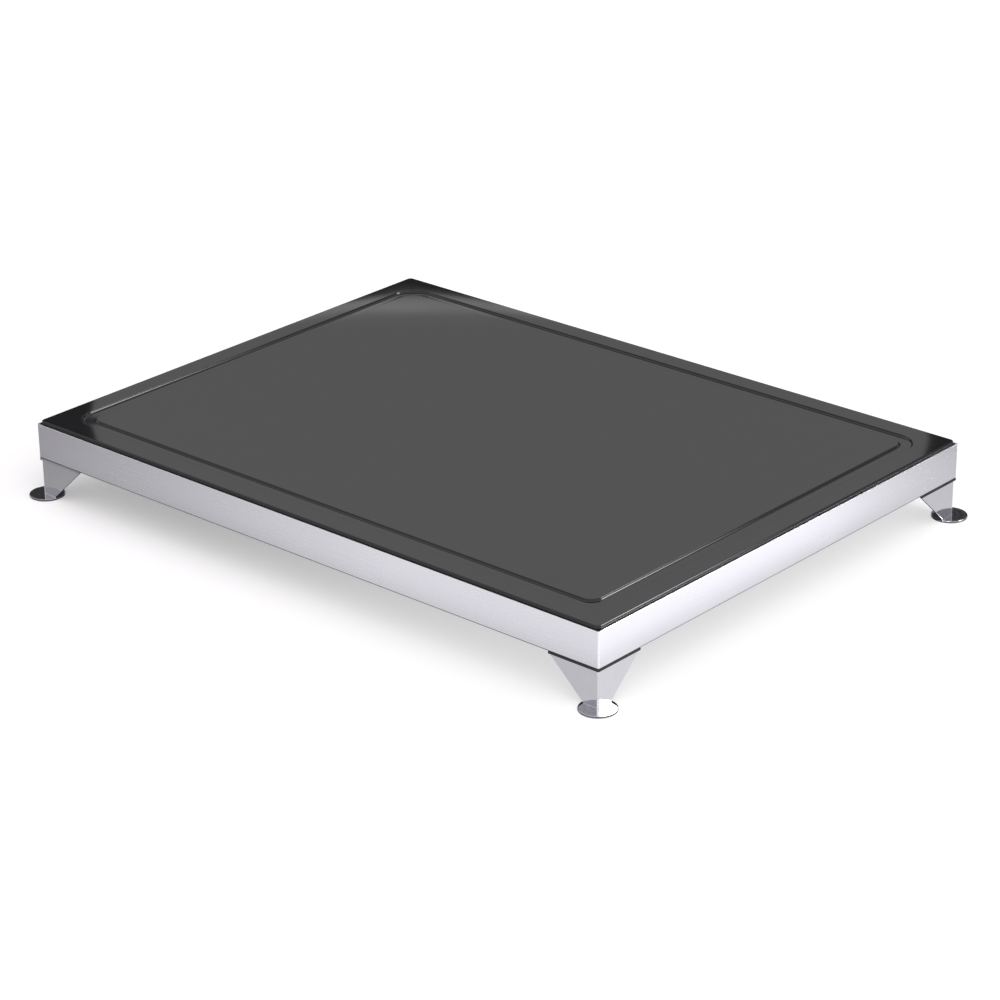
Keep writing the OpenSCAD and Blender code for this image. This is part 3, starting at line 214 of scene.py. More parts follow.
class StationFrame(bpy.types.PropertyGroup):
    """Sizes and colours of the steel frame"""
    corner_r: length("Corner radius", 1.5, "Outer radius of the skirts' ground corners")
    edge_r: length("Edge radius", 0.25, "Easing of the sheets' cut edges")
    hem_r: length("Hem radius", 1.15, "Outer radius of the skirts' rolled lower edges")
    leg_t: length("Leg thickness", 1.5, "Thickness of the legs' sheet")
    leg_bend_r: length("Leg bend", 1.6, "Outer radius of the legs' bend")
    leg_foot_w: length("Leg foot width", 14.2, "Width of a leg's flange at its foot")
    leg_land: length("Leg land", 1.5, "Upright part of a leg's edge, below the skirt")
    stud_out: length("Stud place", 30, "Distance from a leg's corner to its studs")
    stud_rise: length("Stud height", 9, "Height of the studs above the skirts' lower edge")
    stud_hole_d: length("Stud hole", 5.4, "Diameter of the stud holes in the legs")
    foot_bevel: length("Foot bevel", 0.4, "Easing of the foot discs' edges")
    steel: paint("Steel", "f3f1f8", "Colour of clean stainless steel")
    haze: paint("Steel haze", "ebe9f2", "Colour of stainless steel between the brush lines")
    mill: paint("Mill steel", "b9babd", "Colour of the unpolished sheets")


class StationControls(bpy.types.PropertyGroup):
    """Sizes and colours of the rear controls"""
    inlet_cut_w: length("Inlet cut-out width", 27.5, "Width of the inlet's cut-out")
    inlet_cut_h: length("Inlet cut-out height", 20, "Height of the inlet's cut-out")
    inlet_screw_out: length("Inlet screw place", 20, "Half the distance between the inlet's screws")
    inlet_hole_d: length("Inlet screw hole", 3.4, "Diameter of the inlet's screw holes")
    switch_cut_w: length("Switch cut-out width", 19.9, "Width of the switch's cut-out")
    switch_cut_h: length("Switch cut-out height", 13.1, "Height of the switch's cut-out")
    bush_hole_d: length("Bush hole", 7.5, "Diameter of the hole for the control's bush")
    lamp_hole_d: length("Lamp hole", 8.5, "Diameter of the hole for the lamp")
    knob_grips: bpy.props.IntProperty(name="Grips", description="Number of cuts round the knob", default=18)
    knob_grip_d: length("Grip diameter", 2.4, "Diameter of the knob's grip cuts")
    knob_grip_depth: length("Grip depth", 0.7, "Depth of the knob's grip cuts")
    knob_collar: length("Knob collar", 2.5, "Plain collar of the knob next to the skirt")
    knob_well_d: length("Knob well", 13.6, "Diameter of the hollow in the knob's back")
    knob_well_l: length("Knob well depth", 4.4, "Depth of the hollow in the knob's back")
    knob_bore_d: length("Knob bore", 6.2, "Diameter of the knob's bore for the shaft")
    knob_face: length("Knob face", 1.2, "Thickness of the knob in front of its bore")
    knob_mark_w: length("Mark width", 1.6, "Width of the mark on the knob's face")
    knob_mark_d: length("Mark depth", 0.5, "Depth of the groove that holds the mark")
    knob_off: angle("Off angle", 150, "Turn of the knob at off, from the top")
    rocker_tilt: angle("Rocker tilt", -10, "Turn of the rocker at off")
    rocker_pivot: length("Rocker pivot", 1, "Depth of the rocker's pivot behind the skirt's face")
    rocker_mid: length("Rocker middle", 2.6, "Height of the rocker's middle above the skirt's face")
    rocker_end: length("Rocker end", 4, "Height of the rocker's ends above the skirt's face")
    rocker_half: length("Rocker half length", 7.6, "Half the length of the rocker")
    numeral_h: length("Numeral height", 3.4, "Height of the numbers on the scale")
    ink_t: length("Ink thickness", 0.04, "Thickness of the printed marks")
    lens: paint("Lens", "e0781a", "Colour of the lamp's lens")


class StationStage(bpy.types.PropertyGroup):
    """The camera, the light and the floor"""
    lens: bpy.props.FloatProperty(name="Lens", description="Focal length on a 36 mm sensor", default=117.27,
                                  unit="CAMERA")
    azimuth: angle("Azimuth", 41.744, "Camera's angle round the station, from the front")
    elevation: angle("Elevation", 23.839, "Camera's angle above the horizon")
    roll: angle("Roll", -0.665, "Camera's tilt about its own axis")
    distance: length("Distance", 2561.5, "Distance from the camera to its target")
    target: bpy.props.FloatVectorProperty(name="Target", description="Point that the camera faces",
                                          default=(0.09474, -0.09779, RIM_Z), subtype="TRANSLATION")
    fill: share("Fill light", 0.5, "Strength of the even light from all round")
    key: share("Key light", 1.7, "Strength of the soft light from the front right")
    # The floor's glow and colour differ from left to right: painted shade that deepens its shadow at the
    # left
    glow_left: share("Left glow", 0.32, "Light that keeps the floor white to the eye, at the left")
    glow_right: share("Right glow", 0.62, "Light that keeps the floor white to the eye, at the right")
    floor_left: paint("Left floor", "e6e3e5", "Colour of the floor at the left")
    floor_right: paint("Right floor", "b4b2b4", "Colour of the floor at the right")


# Materials


def wire(tree, node, links):
    """Set or link a node's inputs, by name or by number."""
    for key, value in links.items():
        if isinstance(key, int):
            socket = node.inputs[key]
        else:
            socket = next(s for s in node.inputs if s.name == key and s.enabled)
        if isinstance(value, bpy.types.NodeSocket):
            tree.links.new(value, socket)
        else:
            socket.default_value = value


def add(tree, kind, links=None, **settings):
    """Add a node with its settings and links, and give the outputs that it has in use."""
    node = tree.nodes.new(kind)
    for name, value in settings.items():
        setattr(node, name, value)
    wire(tree, node, links or {})
    return [s for s in node.outputs if s.enabled]


def per_mm(millimetres):
    """Scale at which one cell of a pattern has a size, for coordinates in metres."""
    return 1 / (millimetres * MM)


def opaque(colour):
    """A colour, in linear light or as sRGB hex, with its alpha."""
    return (*(linear(colour) if isinstance(colour, str) else colour), 1)


def new_material(name, **sockets):
    """A material with its tree, its shader and its object coordinates."""
    made = bpy.data.materials.new(name)
    made.use_nodes = True
    tree = made.node_tree
    shader = tree.nodes["Principled BSDF"]
    wire(tree, shader, {key.replace("_", " "): value for key, value in sockets.items()})
    return made, tree, shader, add(tree, "ShaderNodeTexCoord")[OBJECT]


def bare_material(name):
    """A material whose tree has only its output."""
    made = bpy.data.materials.new(name)
    made.use_nodes = True
    tree = made.node_tree
    tree.nodes.remove(tree.nodes["Principled BSDF"])
    return made, tree


def grained(name, cell, detail, dark, pale, low, high, relief=0.0, **sockets):
    """A finish whose colour runs from dark to pale, and its roughness from low to high, with a noise.

    The noise has cells of a size in millimetres, alike or given for each axis.
    """
    made, tree, shader, place = new_material(name, **sockets)
    cells = cell if isinstance(cell, tuple) else 3 * (cell,)
    scaled = add(tree, "ShaderNodeMapping", {"Vector": place, "Scale": [per_mm(c) for c in cells]})[0]
    grain = add(tree, "ShaderNodeTexNoise", {"Vector": scaled, "Scale": 1, "Detail": detail})[0]
    tone = add(tree, "ShaderNodeMix", {"Factor": grain, "A": opaque(dark), "B": opaque(pale)},
               data_type="RGBA")[0]
    gloss = add(tree, "ShaderNodeMapRange", {"Value": grain, "To Min": low, "To Max": high})[0]
    wire(tree, shader, {"Base Color": tone, "Roughness": gloss})
    if relief:
        bumps = add(tree, "ShaderNodeBump", {"Height": grain, "Strength": relief, "Distance": 0.1 * MM})[0]
        wire(tree, shader, {"Normal": bumps})
    return made


@functools.cache
def polished_granite():
    """Black granite, sawn and polished: a near-black mirror with faint clouds and mineral flecks."""
    props = bpy.context.scene.station_slab
    made, tree, shader, place = new_material("polished_black_granite", IOR=1.45)
    clouds = add(tree, "ShaderNodeTexNoise", {"Vector": place, "Scale": per_mm(22), "Detail": 5})[0]
    grains = add(tree, "ShaderNodeTexVoronoi", {"Vector": place, "Scale": per_mm(1.7)})[0]
    spots = add(tree, "ShaderNodeMapRange", {"Value": grains, "From Min": 0.2, "From Max": 0.05,
                                             "To Max": 0.3})[0]
    ground = add(tree, "ShaderNodeMix", {"Factor": clouds, "A": opaque(props.stone),
                                         "B": opaque(props.cloud)}, data_type="RGBA")[0]
    flecked = add(tree, "ShaderNodeMix", {"Factor": spots, "A": ground, "B": opaque(props.fleck)},
                  data_type="RGBA")[0]
    wiped = add(tree, "ShaderNodeTexNoise", {"Vector": place, "Scale": per_mm(60), "Detail": 3})[0]
    gloss = add(tree, "ShaderNodeMapRange", {"Value": wiped, "To Min": 0.03, "To Max": 0.08})[0]
    wire(tree, shader, {"Base Color": flecked, "Roughness": gloss})
    return made


@functools.cache
def honed_granite():
    """Black granite, sawn and honed: the slab's sides, which show the saw's fine level lines."""
    props = bpy.context.scene.station_slab
    return grained("honed_black_granite", (40, 40, 0.6), 3, props.stone, props.cloud, 0.28, 0.5, IOR=1.45)


@functools.cache
def brushed_stainless(along):
    """Stainless sheet brushed level: reflections smear upright, broken by fine lines along the sheet.

    Real lines are about 0.1 mm apart. They are drawn 0.5 mm apart so that they show.
    """
    props = bpy.context.scene.station_frame
    made, tree, shader, place = new_material("brushed_stainless_" + along, Metallic=1, Anisotropic=0.5,
                                             Anisotropic_Rotation=0.25)
    run, across = per_mm(150), per_mm(0.5)
    stretch = (run, across, across) if along == "x" else (across, run, across)
    drawn = add(tree, "ShaderNodeMapping", {"Vector": place, "Scale": stretch})[0]
    lines = add(tree, "ShaderNodeTexNoise", {"Vector": drawn, "Scale": 1, "Detail": 4, "Roughness": 0.65})[0]
    wiped = add(tree, "ShaderNodeTexNoise", {"Vector": place, "Scale": per_mm(80), "Detail": 2})[0]
    tone = add(tree, "ShaderNodeMix", {"Factor": lines, "A": opaque(props.haze), "B": opaque(props.steel)},
               data_type="RGBA")[0]
    worn = add(tree, "ShaderNodeMath", {0: lines, 1: wiped}, operation="ADD")[0]
    gloss = add(tree, "ShaderNodeMapRange", {"Value": worn, "From Min": 0.6, "From Max": 1.4, "To Min": 0.23,
                                             "To Max": 0.3})[0]
    relief = add(tree, "ShaderNodeBump", {"Height": lines, "Strength": 0.005, "Distance": 0.05 * MM})[0]
    around = add(tree, "ShaderNodeTangent", direction_type="RADIAL", axis="Z")[0]
    wire(tree, shader, {"Base Color": tone, "Roughness": gloss, "Normal": relief, "Tangent": around})
    return made


@functools.cache
def mirror_stainless():
    """Stainless sheet polished to a mirror, with the slight haze that wiping leaves."""
    props = bpy.context.scene.station_frame
    return grained("mirror_polished_stainless", 9, 4, props.haze, props.steel, 0.03, 0.1, Metallic=1)


@functools.cache
def turned_stainless():
    """Stainless disc turned and buffed: a mirror with faint rings from the lathe, 5 mm apart to show."""
    props = bpy.context.scene.station_frame
    made, tree, shader, place = new_material("turned_stainless", Metallic=1)
    folded = add(tree, "ShaderNodeVectorMath", {0: place}, operation="ABSOLUTE")[0]
    centre = (FOOT_LOW + FOOT_HIGH) / 2
    about = add(tree, "ShaderNodeVectorMath", {0: folded, 1: (abs(centre.x), abs(centre.y), 0)},
                operation="SUBTRACT")[0]
    rings = add(tree, "ShaderNodeTexWave", {"Vector": about, "Scale": per_mm(16), "Distortion": 0.6},
                wave_type="RINGS", rings_direction="Z")[1]
    gloss = add(tree, "ShaderNodeMapRange", {"Value": rings, "To Min": 0.05, "To Max": 0.12})[0]
    relief = add(tree, "ShaderNodeBump", {"Height": rings, "Strength": 0.03, "Distance": 0.02 * MM})[0]
    wire(tree, shader, {"Base Color": opaque(props.steel), "Roughness": gloss, "Normal": relief})
    return made


def shaded_sheared_stainless():
    """Stainless edge as the shear leaves it: dull and rough, and darker than the sheet's faces, a dark grey
    that partly is painted shade for the shadow and dark reflections along lower edges, cut edges and rims.
    """
    return metal("shaded_sheared_stainless", "88878b", "626165", 0.35, 0.5, 0.4)


@functools.cache
def mill_stainless():
    """Cold-rolled stainless sheet as it leaves the mill: soft grey, with a faint cloudy grain."""
    props = bpy.context.scene.station_frame
    return grained("mill_finish_stainless", (40, 3, 3), 5, props.mill, props.haze, 0.28, 0.46, Metallic=1)


@functools.cache
def metal(name, code, dark, low, high, cell):
    """A plain metal whose colour and polish vary with a grain of a size in millimetres."""
    return grained(name, cell, 4, dark, code, low, high, Metallic=1)


@functools.cache
def moulded(name, code, dark, low, high, cell, relief, coat=0.0):
    """A moulded or woven surface: its colour, its gloss and a relief of grains of a size in millimetres."""
    return grained(name, cell, 3, dark, code, low, high, relief, Coat_Weight=coat, Coat_Roughness=0.1)


def extruded_rubber():
    """Extruded black rubber: matt, with painted light that turns the seal pale grey towards its left end."""
    made = grained("extruded_rubber", 0.6, 3, "1f1f21", "2d2d2f", 0.5, 0.7, 0.2)
    tree = made.node_tree
    shader = tree.nodes["Principled BSDF"]
    place = add(tree, "ShaderNodeTexCoord")[OBJECT]
    along = add(tree, "ShaderNodeSeparateXYZ", {"Vector": place})[0]
    # Painted light: the seal's colour runs from its own black to pale grey towards the left end
    painted_light = add(tree, "ShaderNodeMapRange", {"Value": along, "From Min": SEAL_PAINTED_LIGHT[0], "From Max": SEAL_PAINTED_LIGHT[1]})[0]
    rubber_tone = shader.inputs["Base Color"].links[0].from_socket
    tone = add(tree, "ShaderNodeMix", {"Factor": painted_light, "A": rubber_tone, "B": opaque("9a999d")},
               data_type="RGBA")[0]
    wire(tree, shader, {"Base Color": tone})
    return made


@functools.cache
def rolled_aluminium():
    """Aluminium sheet as rolled: pale grey with soft streaks along the rolling, 1.5 mm wide."""
    return grained("rolled_aluminium", (60, 1.5, 1.5), 4, "bcc0c4", "d6d9dc", 0.26, 0.44, Metallic=1)


@functools.cache
def amber_lens():
    """Moulded amber polycarbonate: clear enough to glow at its ribs, with a hard gloss."""
    props = bpy.context.scene.station_controls
    return grained("amber_polycarbonate", 3, 2, "c9630f", props.lens, 0.06, 0.12, IOR=1.58,
                   Transmission_Weight=0.3)


@functools.cache
def solder_mask():
    """Glass laminate under green solder mask: a glossy skin over paler tracks about 2 mm apart."""
    made, tree, shader, place = new_material("green_solder_mask", Coat_Weight=0.5, Coat_Roughness=0.15)
    tracks = add(tree, "ShaderNodeTexBrick", {
        "Vector": place, "Color1": opaque("1f5a37"), "Color2": opaque("235f3c"),
        "Mortar": opaque("3b8455"), "Scale": per_mm(8), "Mortar Size": 0.06, "Mortar Smooth": 0.3})[0]
    weave = add(tree, "ShaderNodeTexNoise", {"Vector": place, "Scale": per_mm(0.6), "Detail": 2})[0]
    gloss = add(tree, "ShaderNodeMapRange", {"Value": weave, "To Min": 0.25, "To Max": 0.4})[0]
    wire(tree, shader, {"Base Color": tracks, "Roughness": gloss})
    return made


def zinc_steel():
    """Steel plated with bright zinc: a cool grey with a fine mottle."""
    return metal("zinc_plated_steel", "c6c8cc", "a0a3a8", 0.2, 0.38, 1.5)


def chromed_brass():
    """Brass turned and chromed: a bright cool mirror."""
    return metal("chromed_brass", "dcdee2", "cfd1d6", 0.06, 0.14, 4)


def plated_brass():
    """Brass plated with nickel, warm where it is rubbed."""
    return metal("nickel_plated_brass", "cdbb86", "b49c62", 0.2, 0.34, 1.2)


def black_plastic():
    """Glass-filled polyamide from a spark-eroded mould: satin black with a fine even grain."""
    return moulded("spark_grained_polyamide", "262628", "1b1b1d", 0.36, 0.5, 0.35, 0.3)


def pale_ink():
    """Pad-printed pale ink: matt and slightly uneven."""
    return moulded("pad_printed_pale_ink", "ecebe6", "dddbd4", 0.45, 0.6, 0.5, 0.05)


def screen_ink():
    """Screen-printed dark ink: matt, with the mesh's fine mottle."""
    return moulded("screen_printed_dark_ink", "2c2c2f", "212124", 0.5, 0.65, 0.3, 0.05)


# Modelling


def deselect():
    """Leave edit mode and select nothing."""
    if bpy.context.mode != "OBJECT":
        bpy.ops.object.mode_set(mode="OBJECT")
    bpy.ops.object.select_all(action="DESELECT")


def take(piece):
    """Select one piece alone and make it active."""
    deselect()
    piece.select_set(True)
    bpy.context.view_layer.objects.active = piece


def rename(piece, name):
    """Give a piece and its mesh a name."""
    piece.name = name
    piece.data.name = name
    return piece


def open_whole(piece):
    """Open a piece for editing, all selected."""
    take(piece)
    bpy.ops.object.mode_set(mode="EDIT")
    bpy.ops.mesh.select_all(action="SELECT")


def put(piece, place, turn):
    """Turn a piece about the origin and move it, in its mesh."""
    take(piece)
    piece.rotation_euler = turn
    piece.location = place
    bpy.ops.object.transform_apply()
    return piece


def begin(name, stretch=(1, 1, 1)):
    """Name a new primitive, put its size and place into its mesh and open it, all selected."""
    piece = rename(bpy.context.object, name)
    piece.scale = stretch
    bpy.ops.object.transform_apply()
    open_whole(piece)
    return piece


def plate(name, size, place, turn=(0, 0, 0)):
    """A flat rectangle, open for editing."""
    deselect()
    bpy.ops.mesh.primitive_plane_add(size=1, location=place, rotation=turn)
    return begin(name, (*size, 1))


def block(name, low, high):
    """A box between two corners, open for editing."""
    deselect()
    low, high = Vector(low), Vector(high)
    bpy.ops.mesh.primitive_cube_add(size=1, location=(low + high) / 2)
    return begin(name, high - low)


def rod(name, radius, start, end, sides=48):
    """A cylinder between two points, open for editing."""
    deselect()
    start, end = Vector(start), Vector(end)
    heading = (end - start).to_track_quat("Z", "Y").to_euler()
    bpy.ops.mesh.primitive_cylinder_add(vertices=sides, radius=radius, depth=(end - start).length,
                                        location=(start + end) / 2, rotation=heading)
    return begin(name)


def pick(piece, kind, test):
    """Select the vertices, edges or faces of an open piece that pass a test."""
    bpy.ops.mesh.select_mode(type=kind)
    bpy.ops.mesh.select_all(action="DESELECT")
    shape = bmesh.from_edit_mesh(piece.data)
    for item in {"VERT": shape.verts, "EDGE": shape.edges, "FACE": shape.faces}[kind]:
        if test(item):
            item.select_set(True)
    shape.select_flush_mode()
    bmesh.update_edit_mesh(piece.data)


def level(item, place, axis=2):
    """Whether all of an edge or a face lies at one place along an axis, upright if none is given."""
    return all(abs(v.co[axis] - place) < NEAR for v in item.verts)


def round_edges(piece, test, radius, segments):
    """Round the edges of an open piece that pass a test."""
    pick(piece, "EDGE", test)
    bpy.ops.mesh.bevel(offset=radius, segments=segments, affect="EDGES")


def apply_modifier(piece, kind, **settings):
    """Add a modifier to a piece and apply it."""
    take(piece)
    modifier = piece.modifiers.new(kind, kind)
    for name, value in settings.items():
        setattr(modifier, name, value)
    bpy.ops.object.modifier_apply(modifier=modifier.name)


def ease(piece, width, segments=2, degrees=30):
    """Round a piece's sharp edges."""
    apply_modifier(piece, "BEVEL", width=width, segments=segments, limit_method="ANGLE",
                   angle_limit=math.radians(degrees))


def cut(piece, cutter):
    """Take a cutter's shape out of a piece."""
    apply_modifier(piece, "BOOLEAN", operation="DIFFERENCE", object=cutter, solver="EXACT")
    bpy.data.objects.remove(cutter)


def copied(piece, name, place=(0, 0, 0), turn=(0, 0, 0)):
    """A copy of a piece with its own mesh, turned about the origin and moved."""
    take(piece)
    bpy.ops.object.duplicate()
    return put(rename(bpy.context.object, name), place, turn)


def joined(pieces, name):
    """Several pieces made one."""
    take(pieces[0])
    for piece in pieces:
        piece.select_set(True)
    bpy.ops.object.join()
    return rename(pieces[0], name)


def dress(node, name, slot, finish, edge=0.0, segments=2, body="base", degrees=35):
    """Let a finished copy stand for one of the frame's nodes, its sharp edges eased by some millimetres."""
    take(bpy.data.objects[node])
    bpy.ops.object.duplicate()
    piece = rename(bpy.context.object, name)
    for key in [k for k in piece.keys() if k.startswith("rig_")]:
        del piece[key]
    bpy.ops.object.parent_clear(type="CLEAR_KEEP_TRANSFORM")
    bpy.ops.object.transform_apply()
    piece.data.materials.clear()
    open_whole(piece)
    bpy.ops.mesh.customdata_custom_splitnormals_clear()
    bpy.ops.mesh.remove_doubles(threshold=NEAR)
    bpy.ops.mesh.dissolve_limited(angle_limit=math.radians(0.5))
    bpy.ops.object.mode_set(mode="OBJECT")
    if edge:
        ease(piece, edge * MM, segments)
    settle(piece, body, slot, finish, stands_for=(node,), degrees=degrees)


def solids(node):
    """The boxes of a node's separate solids."""
    shape = bmesh.new()
    shape.from_mesh(bpy.data.objects[node].data)
    bmesh.ops.remove_doubles(shape, verts=shape.verts, dist=NEAR)
    boxes, seen = [], set()
    for first in shape.verts:
        if first in seen:
            continue
        seen.add(first)
        island = [first]
        for vert in island:
            for edge in vert.link_edges:
                other = edge.other_vert(vert)
                if other not in seen:
                    seen.add(other)
                    island.append(other)
        low = Vector(min(v.co[i] for v in island) for i in range(3))
        high = Vector(max(v.co[i] for v in island) for i in range(3))
        boxes.append((low, high))
    shape.free()
    return boxes


def settle(piece, body, slot, *finishes, stands_for=(), degrees=35):
    """Close a piece: outward faces, shading, finish, body and the nodes that it stands for. Its slot is not
    used.
    """
    open_whole(piece)
    bpy.ops.mesh.remove_doubles(threshold=NEAR)
    bpy.ops.mesh.normals_make_consistent(inside=False)
    bpy.ops.object.mode_set(mode="OBJECT")
    bpy.ops.object.shade_smooth_by_angle(angle=math.radians(degrees))
    apply_modifier(piece, "WEIGHTED_NORMAL", keep_sharp=True)
    for finish in finishes:
        piece.data.materials.append(finish)
    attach(piece, body)
    if stands_for:
        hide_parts(*stands_for)


def cross_screw(head_r, head_t, shank_r, shank_l):
    """A pan-head screw with a cross recess, its seat at the origin and its head up."""
    head = rod("head", head_r, (0, 0, 0), (0, 0, head_t))
    round_edges(head, lambda e: level(e, head_t), HEAD_ROUND * head_t, 5)
    reach, half = RECESS_REACH * head_r, RECESS_HALF * head_r
    slots = []
    for turn in (0, math.pi / 2):
        slot = block("slot", (-reach, -half, RECESS_FLOOR * head_t), (reach, half, 2 * head_t))
        pick(slot, "FACE", lambda f: f.normal.z < -0.5)
        bpy.ops.transform.resize(value=RECESS_TAPER, center_override=(0, 0, 0))
        deselect()
        slots.append(copied(slot, "slot_turned", turn=(0, 0, turn)))
        bpy.data.objects.remove(slot)
    for slot in slots:
        cut(head, slot)
    shank = rod("shank", shank_r, (0, 0, -shank_l), (0, 0, 0), 32)
    round_edges(shank, lambda e: level(e, -shank_l), TIP_ROUND * shank_r, 2)
    deselect()
    return joined([head, shank], "screw_pattern")


def fasten(node, sizes, name, tilt):
    """Set a screw at each place of a node's screws, tilted about X, as one piece that stands for them."""
    screw = cross_screw(*sizes)
    head_t = max(v.co.z for v in screw.data.vertices)
    up = Matrix.Rotation(tilt, 3, "X") @ Vector((0, 0, 1))
    copies = []
    for low, high in solids(node):
        end = (low + high) / 2
        for i in range(3):
            if abs(up[i]) > 0.5:
                end[i] = high[i] if up[i] > 0 else low[i]
        copies.append(copied(screw, "screw_placed", end - head_t * up, (tilt, 0, 0)))
    bpy.data.objects.remove(screw)
    settle(joined(copies, name), "base", "fastener_steel", zinc_steel(), stands_for=(node,))


# Operators


class STATION_OT_stage(bpy.types.Operator):
    """Set the camera, the floor, the light and the studio cards"""
    bl_idname = "station.stage"
    bl_label = "Stage"

    def execute(self, context):
        props = context.scene.station_stage
        context.scene.view_settings.view_transform = "Standard"
        self.set_camera(context, props)
        self.set_world(context, props)
        self.set_floor(props)
        self.set_key(props)
        self.set_cards(props)
        return {"FINISHED"}

    def set_camera(self, context, props):
        """Aim the camera at its target, with a slight roll."""
        flat = math.cos(props.elevation)
        away = Vector((flat * math.sin(props.azimuth), -flat * math.cos(props.azimuth),
                       math.sin(props.elevation)))
        target = Vector(props.target)
        deselect()
        bpy.ops.object.camera_add(location=target + props.distance * away)
        camera = context.object
        camera.name = "camera"
        camera.data.lens = props.lens
        camera.data.sensor_width = SENSOR_W
        aim = (-away).to_track_quat("-Z", "Y") @ Quaternion((0, 0, 1), props.roll)
        camera.rotation_euler = aim.to_euler()
        context.scene.camera = camera

    def seen(self, tree):
        """One for rays that the eye sees straight, in a mirror or through glass, and zero for the rest."""
        rays = {s.name: s for s in add(tree, "ShaderNodeLightPath")}
        either = add(tree, "ShaderNodeMath", {0: rays["Is Camera Ray"], 1: rays["Is Glossy Ray"]},
                     operation="MAXIMUM")[0]
        return add(tree, "ShaderNodeMath", {0: either, 1: rays["Is Transmission Ray"]},
                   operation="MAXIMUM")[0]

    def set_world(self, context, props):
        """A white surround to the eye that lights the station with an even fill."""
        world = bpy.data.worlds.new("studio_surround")
        world.use_nodes = True
        context.scene.world = world
        tree = world.node_tree
        strength = add(tree, "ShaderNodeMapRange", {"Value": self.seen(tree), "To Min": props.fill,
                                                    "To Max": 1})[0]
        wire(tree, tree.nodes["Background"], {"Color": (1, 1, 1, 1), "Strength": strength})

    def set_floor(self, props):
        """A matt white floor that keeps the station's shadow; its colour and glow fade from left to right,
        painted shade that makes the shadow deeper to the left.
        """
        floor = plate("studio_floor", (FLOOR_SIDE, FLOOR_SIDE), (0, 0, 0))
        deselect()
        made, tree = bare_material("matt_white_floor")
        place = add(tree, "ShaderNodeTexCoord")[OBJECT]
        along = add(tree, "ShaderNodeSeparateXYZ", {"Vector": place})[0]
        # Painted shade: less glow at the left, so the floor's shadow shows deeper there while the lit floor
        # stays white
        right = add(tree, "ShaderNodeMapRange", {"Value": along, "From Min": FLOOR_SHADE_FADE[0],
                                                 "From Max": FLOOR_SHADE_FADE[1]},
                    interpolation_type="SMOOTHSTEP")[0]
        tone = add(tree, "ShaderNodeMix", {"Factor": right, "A": opaque(props.floor_left),
                                           "B": opaque(props.floor_right)}, data_type="RGBA")[0]
        lit = add(tree, "ShaderNodeBsdfDiffuse", {"Color": tone})[0]
        white = add(tree, "ShaderNodeMapRange", {"Value": right, "To Min": props.glow_left,
                                                 "To Max": props.glow_right})[0]
        amount = add(tree, "ShaderNodeMath", {0: self.seen(tree), 1: white}, operation="MULTIPLY")[0]
        glow = add(tree, "ShaderNodeEmission", {"Strength": amount})[0]
        both = add(tree, "ShaderNodeAddShader", {0: lit, 1: glow})[0]
        wire(tree, tree.nodes["Material Output"], {"Surface": both})
        floor.data.materials.append(made)

    def set_key(self, props):
        """A broad soft light from the front right, which keeps the shadow under the station."""
        deselect()
        bpy.ops.object.light_add(type="SUN", location=KEY_FROM)
        key = bpy.context.object
        key.name = "key_light"
        key.data.energy = props.key
        key.data.angle = KEY_SPREAD
        key.rotation_euler = KEY_FROM.to_track_quat("Z", "Y").to_euler()
        key.visible_glossy = False

    def card(self, name, size, place, turn, finish):
        """A card that shows only in shiny surfaces."""
        card = plate(name, size, place, turn)
        deselect()
        for ray in ("camera", "diffuse", "transmission", "shadow"):
            setattr(card, "visible_" + ray, False)
        card.data.materials.append(finish)

    def tone(self, name, near, far=None, axis="X", start=0.0, end=1.0):
        """A card's tone, even or fading from one end to the other along an axis."""
        made, tree = bare_material(name)
        strength = near
        if far is not None:
            place = add(tree, "ShaderNodeTexCoord")[OBJECT]
            along = add(tree, "ShaderNodeSeparateXYZ", {"Vector": place})["XYZ".index(axis)]
            strength = add(tree, "ShaderNodeMapRange", {"Value": along, "From Min": start, "From Max": end,
                                                        "To Min": near, "To Max": far})[0]
        glow = add(tree, "ShaderNodeEmission", {"Strength": strength})[0]
        wire(tree, tree.nodes["Material Output"], {"Surface": glow})
        return made

    def set_cards(self, props):
        """Black flags frame the white panel that the slab mirrors, and grey cards shade the steel."""
        ahead = Vector((-math.sin(props.azimuth), math.cos(props.azimuth), 0))
        across = Vector((math.cos(props.azimuth), math.sin(props.azimuth), 0))
        upright = (math.radians(90), 0, props.azimuth)
        for name, left, right, low, high, *tone in BACK_CARDS:
            place = BACK_FAR * ahead + across * (left + right) / 2 + Vector((0, 0, (low + high) / 2))
            self.card(name, (right - left, high - low), place, upright, self.tone(*tone))
        for name, size, place, degrees, *tone in CARDS:
            turn = tuple(math.radians(d) for d in degrees)
            self.card(name, size, place, turn, self.tone(*tone))


